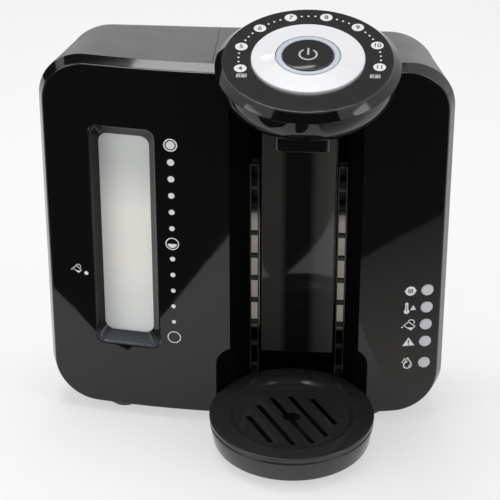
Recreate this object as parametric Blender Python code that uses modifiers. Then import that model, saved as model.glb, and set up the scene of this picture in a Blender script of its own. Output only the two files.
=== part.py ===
"""Counter-top formula maker: bowed gloss front, lift-out water tank on the left,
round control head over a bottle bay, and a drip tray that hooks on two ladder racks.

Frame: metres, +X to the right as the front is looked at, +Y to the back, +Z up.
The origin is on the table, under the middle of the object's box.
"""
import math

import bmesh
import bpy
from mathutils import Matrix, Vector

# Casing and front panel, seen from the front
CASE_WIDTH = 0.300
CASE_HEIGHT = 0.2905
CASE_DEPTH = 0.092
CASE_CORNER = 0.036
CASE_UNDERSIDE = 0.0055
CASE_WALL = 0.0025
BACK_NARROWING = 0.012
BACK_TOP_DROP = 0.002
BACK_ROUND = 0.014
BOW_RADIUS = 0.616
RIM_DEPTH = 0.0098
RIM_FLARE = 0.0032
EDGE_ROUND = 0.0014
PANEL_WALL = 0.0028

# Clearances and cutter overrun
GAP = 0.0003
SLIP = 0.0005
OVERRUN = 0.004

# Window over the tank
WINDOW_IN = 0.0621
WINDOW_WIDTH = 0.0500
WINDOW_LOW = 0.0622
WINDOW_UNDER_TOP = 0.0493
WINDOW_CORNER = 0.0070
BEZEL_SIDE_SLOPE = 0.0054
BEZEL_SILL_SLOPE = 0.0070
BEZEL_WALL = 0.0016
BEZEL_SET_IN = 0.0005

# Bottle bay
BAY_FROM_SIDE = 0.1120
BAY_MOUTH = 0.0964
BAY_REAR_ROOM = 0.038
BAY_SHOULDER_BACK = 0.018
BAY_SHOULDER = 0.0870
BAY_REAR_STEP = 0.0035
BAY_UNDER_TOP = 0.020
BAY_WALL = 0.0020
BACK_PANEL_WIDTH = 0.0560
BACK_PANEL_THICK = 0.0022
BACK_PANEL_LOW = 0.034
BACK_PANEL_UNDER = 0.002
POCKET_TOP = 0.068
POCKET_ROUND = 0.016
POCKET_CLEARANCE = 0.0015

# Ladder racks at the back of the bay
RACK_WIDTH = 0.0068
RACK_THICK = 0.0030
RACK_X_OFFSET = 0.0331
RACK_CHANNEL_DEPTH = 0.0105
RACK_RAIL = 0.0009
RUNG_HEIGHT = 0.0040
RUNG_PITCH = 0.0196
RUNG_COUNT = 9
RACK_FIRST_RUNG = 0.0210
RACK_FOOT = 0.0012

# Drip tray and its grille
TRAY_RADIUS = 0.062
TRAY_SET_OUT = 0.0234
TRAY_TOP = 0.0273
TRAY_UNDERSIDE = 0.0052
TRAY_TAPER = 0.0026
TRAY_WALL = 0.0018
TRAY_SEAM = 0.0012
TRAY_FOOT_ROUND = 0.0030
TONGUE_WIDTH = 0.0042
TONGUE_HEIGHT = 0.0085
TONGUE_REACH = 0.0050
GRILLE_RIM = 0.0035
GRILLE_PLATE = 0.0020
GRILLE_DISH_OUTER = 0.0490
GRILLE_DISH_INNER = 0.0400
GRILLE_DISH_DEPTH = 0.0022
SLOT_WIDTH = 0.0044
SLOT_PITCH = 0.0135
SLOT_TURN = 60.0
KEYHOLE_RADIUS = 0.0068
SLOT_LENGTHS = (0.0400, 0.0610, 0.0690, 0.0620, 0.0400)

# Control head
HEAD_ASIDE = 0.0074
HEAD_ABOVE = 0.0096
HEAD_TILT = 12.9
HEAD_TOP_RADIUS = 0.0596
HEAD_RIM_RADIUS = 0.0652
HEAD_RIM_DROP = 0.0053
HEAD_RIM_EDGE = 0.0012
HEAD_COVER_WALL = 0.0020
BOWL_RADIUS = 0.0646
BOWL_DEPTH = 0.0360
BOWL_POWER = 2.4
BOWL_WALL = 0.0024
BOWL_PORT = 0.0100
BARB_LENGTH = 0.0050
BARB_TURN = 75.0
BARB_ANGLE = 36.0
DIAL_RADIUS = 0.0398
DIAL_RISE = 0.0018
DIAL_CROWN = 0.0034
DIAL_EDGE = 0.0010
DIMPLE_RADIUS = 0.0062
DIMPLE_DEPTH = 0.0009
DIMPLE_PLACE = 0.0300
WELL_DEPTH = 0.0050
LIGHT_RING_RADIUS = 0.0227
LIGHT_RING_TOP = 0.0038
BUTTON_RADIUS = 0.0180
BUTTON_TOP = 0.0046
BUTTON_DOME = 0.0006
BUTTON_SKIRT = 0.0030
BUTTON_STEM = 0.0030
BUTTON_TRAVEL = 0.0015
FIRST_NUMBER_ANGLE = 192.5

# Outlet under the head
OUTLET_WIDTH = 0.0390
OUTLET_LENGTH = 0.0280
OUTLET_SET_OUT = 0.0220
OUTLET_ASIDE = 0.0057
OUTLET_DROP = 0.0550
OUTLET_ROUND = 0.0050
NOZZLE_RADIUS = 0.0034
NOZZLE_BORE = 0.0018
NOZZLE_DROP = 0.0035
NOZZLE_SPACING = 0.0160

# Lamps and keys on the right of the panel
LAMP_IN = 0.0136
LAMP_TOP_HEIGHT = 0.1151
LAMP_PITCH = 0.0149
LAMP_LAST_PITCH = 0.0189
LAMP_RADIUS = 0.00465
LAMP_PROUD = 0.0005
LAMP_FLANGE = 0.0013
LAMP_FLANGE_RADIUS = 0.0060
LAMP_STEM = 0.0022
LAMP_STEM_LENGTH = 0.0030
KEY_TRAVEL = 0.0008
LAMP_BOARD_WIDTH = 0.0130
LAMP_BOARD_THICK = 0.0016
LAMP_BOARD_POST = 0.0020

# Water tank, lid and valve
TANK_IN = 0.0260
TANK_FROM_BAY = 0.0650
TANK_LOW = 0.0200
TANK_UNDER_LID = 0.0030
TANK_WALL = 0.0020
TANK_CORNER = 0.0080
TANK_FRONT_CLEARANCE = 0.0012
TANK_BACK_CLEARANCE = 0.0030
LID_FROM_BAY = 0.0605
LID_HEIGHT = 0.0320
LID_WALL = 0.0022
LID_RIB = 0.0030
SPOUT_RADIUS = 0.0090
SPOUT_LENGTH = 0.0045
SPOUT_BORE = 0.0050
VALVE_DISC = 0.0068
VALVE_DISC_THICK = 0.0016
VALVE_STEM = 0.0016
VALVE_FOOT = 0.0030
VALVE_FOOT_THICK = 0.0010
SPRING_WIRE = 0.0005
SPRING_RADIUS = 0.0027
SPRING_TURNS = 3
FILTER_WALL = 0.0018
FILTER_HEIGHT = 0.0700
FILTER_KNOB = 0.0060
PARTITION_THICK = 0.0016

# Cradle, socket and seal under the tank
CRADLE_ASIDE = 0.0120
SOCKET_MARGIN = 0.0020
CRADLE_WALL = 0.0024
CRADLE_FLOOR = 0.0024
SOCKET_RADIUS = 0.0125
SOCKET_CUP = 0.0098
SOCKET_FLOOR = 0.0016
SEAL_WIRE = 0.0012
PORT_RADIUS = 0.0030

# Base, feet and screws
BASE_THICK = 0.0022
BASE_IN = 0.0420
BASE_FRONT_INSET = 0.0160
BASE_BACK_INSET = 0.0200
BASE_CORNER = 0.0100
SERVICE_INSET = 0.0100
FOOT_PEG = 0.0032
FOOT_EDGE = 0.0008
FOOT_MARGIN = 0.0020
SCREW_HEAD = 0.0030
SCREW_HEAD_THICK = 0.0012
SCREW_SHANK = 0.0014
SCREW_LENGTH = 0.0036
SCREW_INSET = 0.0055
VENT_WIDTH = 0.0030
VENT_MARGIN = 0.0120
VENT_PITCH = 0.0070
VENT_COUNT = 6
VENT_IN = 0.0380

# Works inside
PUMP_RADIUS = 0.0135
PUMP_LENGTH = 0.0400
PUMP_FROM_BAY = 0.0570
PUMP_TO_BACK = 0.0450
BOILER_RADIUS = 0.0100
BOILER_LENGTH = 0.0700
BOILER_HEIGHT = 0.1200
BOILER_LEG = 0.0060
BOARD_THICK = 0.0016
POWER_BOARD_WIDTH = 0.0340
POWER_BOARD_HEIGHT = 0.0800
POWER_BOARD_IN = 0.0420
POWER_BOARD_LOW = 0.1500
POWER_BOARD_STANDOFF = 0.0060
STANDOFF_RADIUS = 0.0025
CONTROL_BOARD_RADIUS = 0.0400
CONTROL_BOARD_DEPTH = 0.0140
SWITCH_SIZE = 0.0060
HOSE_RADIUS = 0.0030
GLAND_RADIUS = 0.0065
GLAND_FLANGE = 0.0085
GLAND_FLANGE_THICK = 0.0020
GLAND_BORE = 0.0035
GLAND_IN = 0.0500
GLAND_HEIGHT = 0.0300

# Facets
ROUND_STEPS = 40
SMALL_STEPS = 12
POST_STEPS = 8
TANK_STRIPS = 6
COIL_STEPS = 10
CORNER_STEPS = 4
FACE_STRIPS = 8
BOWL_STEPS = 7

# Places that follow from the sizes above
TOTAL_DEPTH = CASE_DEPTH + TRAY_SET_OUT + TRAY_RADIUS + GAP + GLAND_FLANGE_THICK
BACK_Y = TOTAL_DEPTH / 2 - GAP - GLAND_FLANGE_THICK
FACE_Y = BACK_Y - CASE_DEPTH
TRAY_Y = FACE_Y - TRAY_SET_OUT
CASE_TOP = CASE_UNDERSIDE + CASE_HEIGHT
CASE_MIDDLE = CASE_UNDERSIDE + CASE_HEIGHT / 2
CASE_FLOOR = CASE_UNDERSIDE + CASE_WALL
POCKET_RADIUS = TRAY_RADIUS + POCKET_CLEARANCE
REACH = CASE_WIDTH + CASE_HEIGHT
BAY_X = CASE_WIDTH / 2 - BAY_FROM_SIDE

HEAD_X = BAY_X + HEAD_ASIDE
HEAD_CENTRE_HEIGHT = CASE_TOP + HEAD_ABOVE
OUTLET_LOW = HEAD_CENTRE_HEIGHT - OUTLET_DROP
WINDOW_X = WINDOW_IN - CASE_WIDTH / 2
WINDOW_HIGH = CASE_TOP - WINDOW_UNDER_TOP
LAMP_X = CASE_WIDTH / 2 - LAMP_IN

BAY_DEPTH = CASE_DEPTH - BAY_REAR_ROOM
BAY_SHOULDER_DEPTH = BAY_DEPTH - BAY_SHOULDER_BACK
BAY_REAR_START = BAY_DEPTH - BAY_REAR_STEP
BAY_TOP = CASE_TOP - BAY_UNDER_TOP
BACK_PANEL_HIGH = OUTLET_LOW - BACK_PANEL_UNDER

LID_RIGHT = BAY_X - LID_FROM_BAY
LID_SEAM = CASE_TOP - LID_HEIGHT
TANK_LEFT = TANK_IN - CASE_WIDTH / 2
TANK_RIGHT = BAY_X - TANK_FROM_BAY
TANK_HIGH = LID_SEAM - TANK_UNDER_LID
FILTER_RADIUS = (CASE_DEPTH - RIM_DEPTH) / 5
SOCKET_X = (TANK_LEFT + TANK_RIGHT) / 2
CRADLE_LEFT = SOCKET_X - SOCKET_RADIUS - CRADLE_ASIDE

BASE_HALF_WIDTH = CASE_WIDTH / 2 - BASE_IN
BASE_FRONT = FACE_Y + BASE_FRONT_INSET
BASE_BACK = BACK_Y - BASE_BACK_INSET
FOOT_RADIUS = (BASE_BACK - BASE_FRONT) / 5
FOOT_IN = FOOT_RADIUS + FOOT_MARGIN
VENT_LENGTH = BASE_BACK - BASE_FRONT - 2 * FOOT_IN - VENT_MARGIN

PUMP_X = BAY_X + PUMP_FROM_BAY
PUMP_Y = BACK_Y - PUMP_TO_BACK
POWER_BOARD_X = CASE_WIDTH / 2 - POWER_BOARD_IN
GLAND_X = CASE_WIDTH / 2 - GLAND_IN

PARTS = bpy.data.collections.new("formula_maker")
CUTTERS = bpy.data.collections.new("cutters")


def clear_scene():
    """Start from an empty scene with the two collections linked."""
    for item in list(bpy.data.objects):
        bpy.data.objects.remove(item)
    for group in (PARTS, CUTTERS):
        bpy.context.scene.collection.children.link(group)


def bow(x):
    """How far the bowed front lies behind its foremost line, at a place x."""
    return BOW_RADIUS - math.sqrt(BOW_RADIUS ** 2 - x ** 2)


def bow_turn(x):
    """Angle of the bowed front about Z at a place x."""
    return math.asin(x / BOW_RADIUS)


def plastic(name, colour, roughness, metallic=0.0, transmission=0.0):
    """One Principled material."""
    material = bpy.data.materials.new(name)
    material.use_nodes = True
    shader = material.node_tree.nodes["Principled BSDF"]
    shader.inputs["Base Color"].default_value = (*colour, 1.0)
    shader.inputs["Roughness"].default_value = roughness
    shader.inputs["Metallic"].default_value = metallic
    shader.inputs["Transmission Weight"].default_value = transmission
    material.diffuse_color = (*colour, 1.0)
    return material


def add_object(name, mesh, material=None):
    """Link a mesh as a sub-part, or as a cutter where it has no material."""
    item = bpy.data.objects.new(name, mesh)
    if material is None:
        CUTTERS.objects.link(item)
        item.hide_render = True
        item.display_type = "WIRE"
    else:
        PARTS.objects.link(item)
        mesh.materials.append(material)
    mesh.shade_smooth()
    mesh.set_sharp_from_angle(angle=math.radians(35))
    return item


def mesh_from(name, build):
    """A mesh whose bmesh is filled by the function build, with faces pointing out."""
    mesh = bpy.data.meshes.new(name)
    work = bmesh.new()
    build(work)
    bmesh.ops.recalc_face_normals(work, faces=work.faces)
    work.to_mesh(mesh)
    work.free()
    return mesh


def box(name, low, high, material=None, rounding=0.0, segments=3):
    """A box between two corners, with its edges rounded where asked."""
    size = [high[i] - low[i] for i in range(3)]
    middle = [(high[i] + low[i]) / 2 for i in range(3)]

    def build(work):
        bmesh.ops.create_cube(work, size=1.0)
        bmesh.ops.scale(work, vec=size, verts=work.verts)
        bmesh.ops.translate(work, vec=middle, verts=work.verts)

    item = add_object(name, mesh_from(name, build), material)
    if rounding:
        bevel = item.modifiers.new("rounding", "BEVEL")
        bevel.width = rounding
        bevel.segments = segments
    return item


def rod(name, start, end, radius, material=None, steps=SMALL_STEPS, end_radius=None):
    """A round bar, or a cone where end_radius is given, between two points."""
    start, end = Vector(start), Vector(end)
    along = end - start
    turn = along.to_track_quat("Z", "Y").to_matrix().to_4x4()
    place = Matrix.Translation((start + end) / 2) @ turn
    tip = radius if end_radius is None else end_radius

    def build(work):
        bmesh.ops.create_cone(work, cap_ends=True, segments=steps, radius1=radius,
                              radius2=tip, depth=along.length, matrix=place)

    return add_object(name, mesh_from(name, build), material)


def turned(name, profile, material=None, steps=ROUND_STEPS, place=None):
    """A profile of (radius, height) points, turned about its own Z axis.

    The profile is a closed outline, or it starts and ends on the axis.
    """
    on_axis = profile[0][0] == 0 and profile[-1][0] == 0

    def build(work):
        points = [work.verts.new((r, 0.0, h)) for r, h in profile]
        last = len(points) - 1 if on_axis else len(points)
        edges = [work.edges.new((points[i], points[(i + 1) % len(points)])) for i in range(last)]
        bmesh.ops.spin(work, geom=points + edges, cent=(0, 0, 0), axis=(0, 0, 1),
                       angle=math.tau, steps=steps, use_merge=True)
        bmesh.ops.remove_doubles(work, verts=work.verts, dist=GAP / 100)

    item = add_object(name, mesh_from(name, build), material)
    if place is not None:
        item.matrix_world = place
    return item


def filleted(points, radius, steps=4):
    """A closed outline with each corner rounded by an arc of the radius."""
    rounded = []
    count = len(points)
    for i in range(count):
        here = Vector(points[i])
        back = (Vector(points[i - 1]) - here)
        ahead = (Vector(points[(i + 1) % count]) - here)
        half = back.angle(ahead) / 2
        if half > math.radians(80):
            rounded.append(tuple(here))
            continue
        reach = min(radius / math.tan(half), back.length / 2, ahead.length / 2)
        size = reach * math.tan(half)
        centre = here + (back.normalized() + ahead.normalized()).normalized() * size / math.sin(half)
        first = here + back.normalized() * reach - centre
        last = here + ahead.normalized() * reach - centre
        swing = first.angle_signed(last)
        for step in range(steps + 1):
            spot = centre + Matrix.Rotation(-swing * step / steps, 2) @ first
            rounded.append(tuple(spot))
    return rounded


def offset_outline(points, distance):
    """A closed outline moved outwards by a distance, with mitred corners."""
    area = sum(points[i - 1][0] * points[i][1] - points[i][0] * points[i - 1][1]
               for i in range(len(points)))
    side = 1 if area > 0 else -1
    moved = []
    for i, point in enumerate(points):
        before = (Vector(point) - Vector(points[i - 1])).normalized()
        after = (Vector(points[(i + 1) % len(points)]) - Vector(point)).normalized()
        out_before = Vector((before.y, -before.x)) * side
        out_after = Vector((after.y, -after.x)) * side
        mitre = (out_before + out_after).normalized()
        moved.append(tuple(Vector(point) + mitre * distance / mitre.dot(out_before)))
    return moved


def prism(name, outline, low, high, axis="Z", material=None):
    """A flat outline drawn out along Z, or along Y for outlines of (x, z)."""

    def build(work):
        if axis == "Z":
            ring = [work.verts.new((a, b, low)) for a, b in outline]
            shift = (0, 0, high - low)
        else:
            ring = [work.verts.new((a, low, b)) for a, b in outline]
            shift = (0, high - low, 0)
        face = work.faces.new(ring)
        drawn = bmesh.ops.extrude_face_region(work, geom=[face])
        moved = [g for g in drawn["geom"] if isinstance(g, bmesh.types.BMVert)]
        bmesh.ops.translate(work, vec=shift, verts=moved)

    return add_object(name, mesh_from(name, build), material)


def loft(name, rings, material=None):
    """A closed solid through rings of the same number of points."""

    def build(work):
        loops = [[work.verts.new(p) for p in ring] for ring in rings]
        count = len(loops[0])
        work.faces.new(loops[0])
        work.faces.new(loops[-1])
        for near, far in zip(loops, loops[1:]):
            for i in range(count):
                j = (i + 1) % count
                work.faces.new((near[i], near[j], far[j], far[i]))

    return add_object(name, mesh_from(name, build), material)


def columns(half_width, half_height, corner):
    """Places x across a rounded rectangle, each with its half height there."""
    spots = []
    for step in range(CORNER_STEPS + 1):
        angle = math.pi / 2 * step / CORNER_STEPS
        spots.append((-half_width + corner * (1 - math.cos(angle)),
                      half_height - corner * (1 - math.sin(angle))))
    straight = half_width - corner
    inner = [(-straight + 2 * straight * step / FACE_STRIPS, half_height)
             for step in range(1, FACE_STRIPS)]
    return spots + inner + [(-x, h) for x, h in reversed(spots)]


def bowed_body(name, sections, material=None):
    """A solid through upright rounded rectangles, each bowed by its share.

    A section is (y, bow share, half width, half height, corner, middle height).
    """

    def build(work):
        loops = []
        for y, share, half_width, half_height, corner, middle in sections:
            spots = columns(half_width, half_height, corner)
            top = [work.verts.new((x, y + share * bow(x), middle + h)) for x, h in spots]
            low = [work.verts.new((x, y + share * bow(x), middle - h)) for x, h in spots]
            loops.append((top, low))
        for top, low in (loops[0], loops[-1]):
            for i in range(len(top) - 1):
                work.faces.new((top[i], top[i + 1], low[i + 1], low[i]))
        for near, far in zip(loops, loops[1:]):
            near_ring = near[0] + near[1][::-1]
            far_ring = far[0] + far[1][::-1]
            for i in range(len(near_ring)):
                j = (i + 1) % len(near_ring)
                work.faces.new((near_ring[i], near_ring[j], far_ring[j], far_ring[i]))

    return add_object(name, mesh_from(name, build), material)


def combine(target, other, operation):
    """A Boolean of the target with another object, which becomes a cutter."""
    change = target.modifiers.new(operation.lower(), "BOOLEAN")
    change.operation = operation
    change.solver = "EXACT"
    change.object = other
    return target


def cut(target, *cutters):
    """Take the cutters out of the target."""
    for cutter in cutters:
        combine(target, cutter, "DIFFERENCE")
    return target


def join(target, *others):
    """Fuse the other solids onto the target."""
    for other in others:
        combine(target, other, "UNION")
    return target


def keep(target, *others):
    """Keep of the target only what lies inside the other solids."""
    for other in others:
        combine(target, other, "INTERSECT")
    return target


def front_sections(depths):
    """Panel sections: y behind the face, inset from the front outline."""
    half_width = CASE_WIDTH / 2 - RIM_FLARE
    half_height = CASE_HEIGHT / 2 - RIM_FLARE
    corner = CASE_CORNER - RIM_FLARE
    return [(FACE_Y + depth, 1.0, half_width - inset, half_height - inset, corner - inset,
             CASE_MIDDLE) for depth, inset in depths]


def case_sections(inset, start):
    """Casing sections from the front rim to the rounded back, inset by a wall."""
    half_width = CASE_WIDTH / 2 - inset
    half_height = CASE_HEIGHT / 2 - inset
    corner = CASE_CORNER - inset
    back_width = half_width - BACK_NARROWING
    back_height = half_height - BACK_TOP_DROP / 2
    back_middle = CASE_MIDDLE - BACK_TOP_DROP / 2
    sections = [(start, 1.0, half_width, half_height, corner, CASE_MIDDLE)]
    for step in range(CORNER_STEPS):
        angle = math.pi / 2 * step / (CORNER_STEPS - 1)
        shrink = (BACK_ROUND - inset) * (1 - math.cos(angle))
        y = BACK_Y - BACK_ROUND + (BACK_ROUND - inset) * math.sin(angle)
        sections.append((y, 0.0, back_width - shrink, back_height - shrink,
                         corner - shrink, back_middle))
    return sections


def interior(name):
    """The room behind the panel and inside the casing, with a gap all round."""
    wall = max(PANEL_WALL, CASE_WALL) + GAP
    sections = case_sections(wall, FACE_Y + RIM_DEPTH)
    inner_front = front_sections([(PANEL_WALL + GAP, PANEL_WALL + GAP)])
    return bowed_body(name, inner_front + sections)


def bay_plan(extra=0.0):
    """Plan of the bottle bay with the two rack channels in its back corners."""
    half = [(BAY_MOUTH / 2, -OVERRUN),
            (BAY_MOUTH / 2, PANEL_WALL),
            (BAY_SHOULDER / 2, BAY_SHOULDER_DEPTH),
            (RACK_X_OFFSET + RACK_WIDTH / 2 + GAP, BAY_REAR_START),
            (RACK_X_OFFSET + RACK_WIDTH / 2 + GAP, BAY_REAR_START + RACK_CHANNEL_DEPTH),
            (RACK_X_OFFSET - RACK_WIDTH / 2 - GAP, BAY_REAR_START + RACK_CHANNEL_DEPTH),
            (RACK_X_OFFSET - RACK_WIDTH / 2 - GAP, BAY_DEPTH)]
    right = [(BAY_X + h, FACE_Y + d) for h, d in half]
    left = [(BAY_X - h, FACE_Y + d) for h, d in reversed(half)]
    outline = right + left
    if extra:
        outline = offset_outline(outline, extra)
    return outline


def pocket(name, extra=0.0):
    """The round pocket that the tray stands in, with a rounded top edge."""
    radius = POCKET_RADIUS + extra
    top = POCKET_TOP + extra
    profile = [(0.0, -OVERRUN), (radius, -OVERRUN)]
    for step in range(CORNER_STEPS + 1):
        angle = math.pi / 2 * step / CORNER_STEPS
        profile.append((radius - POCKET_ROUND * (1 - math.cos(angle)),
                        top - POCKET_ROUND * (1 - math.sin(angle))))
    profile.append((0.0, top))
    return turned(name, profile, place=Matrix.Translation((BAY_X, TRAY_Y, 0.0)))


def head_place(height=0.0):
    """Place and tilt of the control head's axis."""
    tilt = Matrix.Rotation(math.radians(HEAD_TILT), 4, "X")
    return Matrix.Translation((HEAD_X, FACE_Y, HEAD_CENTRE_HEIGHT)) @ tilt \
        @ Matrix.Translation((0.0, 0.0, height))


def bowl_point(angle, radius, depth):
    """A point of the bowl's rounded section, as (radius, height) below the rim."""
    rim = -HEAD_RIM_DROP - HEAD_RIM_EDGE - GAP
    return (radius * math.cos(angle) ** (2 / BOWL_POWER),
            rim - depth * math.sin(angle) ** (2 / BOWL_POWER))


def bowl_curve(extra=0.0):
    """Outer line of the bowl from its rim down to the port in its foot, as (radius, height)."""
    points = [bowl_point(math.pi / 2 * step / BOWL_STEPS, BOWL_RADIUS + extra, BOWL_DEPTH + extra)
              for step in range(BOWL_STEPS)]
    foot = points[0][1] - BOWL_DEPTH - extra
    return [point for point in points if point[0] > BOWL_PORT + extra] + [(BOWL_PORT, foot)]


def bowl_space(name, extra):
    """A solid of the bowl's outside, larger by a gap, and open to the sky."""
    above = HEAD_TOP_RADIUS
    curve = bowl_curve(extra)
    profile = [(0.0, above), (curve[0][0], above)] + curve + [(0.0, curve[-1][1])]
    return turned(name, profile, place=head_place())


def make_front_panels(gloss):
    """Two bowed mouldings, one on each side of the bay, which parts them."""
    round_in = EDGE_ROUND * (1 - math.sin(math.pi / 4))
    outer = front_sections([(0.0, EDGE_ROUND), (round_in, round_in), (EDGE_ROUND, 0.0),
                            (RIM_DEPTH, -RIM_FLARE)])
    shared = [bowed_body("panel_hollow", front_sections(
        [(PANEL_WALL, PANEL_WALL), (RIM_DEPTH, PANEL_WALL - RIM_FLARE),
         (RIM_DEPTH + OVERRUN, PANEL_WALL - RIM_FLARE)])),
        pocket("panel_pocket"), bowl_space("panel_notch", SLIP)]
    left = bowed_body("front_panel_left", outer, gloss)
    cut(left, *shared)
    cut(left, box("left_limit", (BAY_X - BAY_MOUTH / 2, -REACH, -REACH), (REACH, REACH, REACH)))
    window = prism("window_hole", window_outline(0.0), FACE_Y - OVERRUN, FACE_Y + REACH / 6, "Y")
    cut(left, window)

    right = bowed_body("front_panel_right", outer, gloss)
    cut(right, *shared)
    cut(right, box("right_limit", (-REACH, -REACH, -REACH), (BAY_X + BAY_MOUTH / 2, REACH, REACH)))
    for index, height in enumerate(lamp_heights()):
        hole = rod(f"lamp_hole_{index}", lamp_point(height, -OVERRUN),
                   lamp_point(height, PANEL_WALL + OVERRUN), LAMP_RADIUS + GAP)
        cut(right, hole)
    for height in board_post_heights():
        post = rod("board_post", lamp_point(height, PANEL_WALL / 2),
                   lamp_point(height, board_depth() - GAP), LAMP_BOARD_POST, steps=POST_STEPS)
        join(right, post)


def window_outline(inset, sill=0.0):
    """Outline of the window, inset all round and by more at the sill."""
    left = WINDOW_X - WINDOW_WIDTH / 2 + inset
    right = WINDOW_X + WINDOW_WIDTH / 2 - inset
    corners = [(left, WINDOW_LOW + inset + sill), (right, WINDOW_LOW + inset + sill),
               (right, WINDOW_HIGH - inset), (left, WINDOW_HIGH - inset)]
    return filleted(corners, WINDOW_CORNER, CORNER_STEPS)


def make_window_bezel(gloss):
    """A funnel-shaped frame from the panel's face in to the tank's window."""
    depth = RIM_DEPTH

    def ring(outline, behind):
        return [(x, FACE_Y + behind + bow(x), z) for x, z in outline]

    outer = [ring(window_outline(GAP), BEZEL_SET_IN),
             ring(window_outline(GAP), depth)]
    side = BEZEL_SIDE_SLOPE
    sill = BEZEL_SILL_SLOPE - BEZEL_SIDE_SLOPE
    past = OVERRUN / depth
    inner = [ring(window_outline(BEZEL_WALL / 2 - side * past, -sill * past), -OVERRUN + BEZEL_SET_IN),
             ring(window_outline(BEZEL_WALL / 2 + side, sill), depth),
             ring(window_outline(BEZEL_WALL / 2 + side, sill), depth + OVERRUN)]
    bezel = loft("window_bezel", outer, gloss)
    return cut(bezel, loft("bezel_opening", inner))


def make_rear_casing(satin):
    casing = bowed_body("rear_casing", case_sections(0.0, FACE_Y + RIM_DEPTH + GAP), satin)
    hollow = bowed_body("casing_hollow", case_sections(CASE_WALL, FACE_Y - OVERRUN))
    lid_room = box("lid_room", (-REACH, -REACH, LID_SEAM - GAP), (LID_RIGHT + GAP, REACH, REACH))
    service = prism("service_opening", base_outline(SERVICE_INSET), -OVERRUN, CASE_FLOOR + OVERRUN)
    gland = rod("gland_hole", (GLAND_X, BACK_Y - BACK_ROUND, GLAND_HEIGHT),
                (GLAND_X, BACK_Y + OVERRUN, GLAND_HEIGHT), GLAND_RADIUS + GAP)
    cut(casing, hollow, lid_room, service, pocket_floor("casing_pocket"), gland,
        bowl_space("casing_notch", SLIP))
    return casing


def pocket_floor(name):
    """The pocket where it passes through the floor of the casing."""
    return rod(name, (BAY_X, TRAY_Y, -OVERRUN), (BAY_X, TRAY_Y, POCKET_TOP / 2), POCKET_RADIUS,
               steps=ROUND_STEPS)


def base_outline(inset):
    """Plan of the base plate."""
    left, right = -BASE_HALF_WIDTH + inset, BASE_HALF_WIDTH - inset
    front, back = BASE_FRONT + inset, BASE_BACK - inset
    return filleted([(left, front), (right, front), (right, back), (left, back)], BASE_CORNER)


def foot_places():
    x = BASE_HALF_WIDTH - FOOT_IN
    front = BASE_FRONT + FOOT_IN
    back = BASE_BACK - FOOT_IN
    return {"front_left": (-x, front), "front_right": (x, front),
            "rear_left": (-x, back), "rear_right": (x, back)}


def screw_places():
    x = BASE_HALF_WIDTH - SCREW_INSET
    middle = (BASE_FRONT + BASE_BACK) / 2
    back = BASE_BACK - SCREW_INSET
    return {"left": (-x, middle), "right": (x, middle),
            "rear_left": (-x / 3, back), "rear_right": (x / 3, back)}


def make_base(satin, rubber, steel):
    top = CASE_UNDERSIDE - GAP
    low = top - BASE_THICK
    plate = prism("base_plate", base_outline(0.0), low, top, material=satin)
    cut(plate, pocket_floor("base_pocket"))
    for index in range(VENT_COUNT):
        y = BASE_FRONT + 2 * FOOT_IN
        x = -BASE_HALF_WIDTH + VENT_IN + index * VENT_PITCH
        slot = box(f"vent_{index}", (x, y, -OVERRUN),
                   (x + VENT_WIDTH, y + VENT_LENGTH, top + OVERRUN))
        cut(plate, slot)
    for name, (x, y) in foot_places().items():
        cut(plate, rod(f"peg_hole_{name}", (x, y, -OVERRUN), (x, y, top + OVERRUN), FOOT_PEG + GAP))
        profile = [(0.0, top), (FOOT_PEG, top), (FOOT_PEG, low - GAP), (FOOT_RADIUS, low - GAP),
                   (FOOT_RADIUS, FOOT_EDGE), (FOOT_RADIUS - FOOT_EDGE, 0.0), (0.0, 0.0)]
        turned(f"foot_{name}", profile, rubber, SMALL_STEPS, Matrix.Translation((x, y, 0.0)))
    for name, (x, y) in screw_places().items():
        hole = rod(f"screw_hole_{name}", (x, y, -OVERRUN), (x, y, CASE_FLOOR + OVERRUN),
                   SCREW_SHANK + GAP)
        cut(plate, hole)
        cut(bpy.data.objects["rear_casing"], hole)
        head = low - GAP
        profile = [(0.0, head + SCREW_LENGTH), (SCREW_SHANK, head + SCREW_LENGTH),
                   (SCREW_SHANK, head), (SCREW_HEAD, head),
                   (SCREW_HEAD, head - SCREW_HEAD_THICK), (0.0, head - SCREW_HEAD_THICK)]
        turned(f"base_screw_{name}", profile, steel, SMALL_STEPS // 2,
               Matrix.Translation((x, y, 0.0)))
    return plate


def make_bay(gloss, satin):
    """Liner of the bottle bay with its tray pocket, and the glossy back panel."""
    floor = CASE_FLOOR + GAP
    liner = prism("bay_liner", bay_plan(BAY_WALL), floor, BAY_TOP, material=gloss)
    join(liner, pocket("pocket_outside", BAY_WALL))
    above_floor = box("above_floor", (-REACH, -REACH, floor), (REACH, REACH, BAY_TOP))
    keep(liner, interior("liner_room"), above_floor)
    cut(liner, prism("bay_space", bay_plan(), -OVERRUN, BAY_TOP + OVERRUN),
        pocket("pocket_space"), bowl_space("liner_notch", SLIP))

    front = FACE_Y + BAY_DEPTH - GAP - BACK_PANEL_THICK
    panel = box("bay_back_panel", (BAY_X - BACK_PANEL_WIDTH / 2, front, BACK_PANEL_LOW),
                (BAY_X + BACK_PANEL_WIDTH / 2, front + BACK_PANEL_THICK, BACK_PANEL_HIGH), gloss,
                rounding=EDGE_ROUND / 2, segments=2)
    return liner, panel


def rung_heights():
    return [RACK_FIRST_RUNG + index * RUNG_PITCH for index in range(RUNG_COUNT)]


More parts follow.
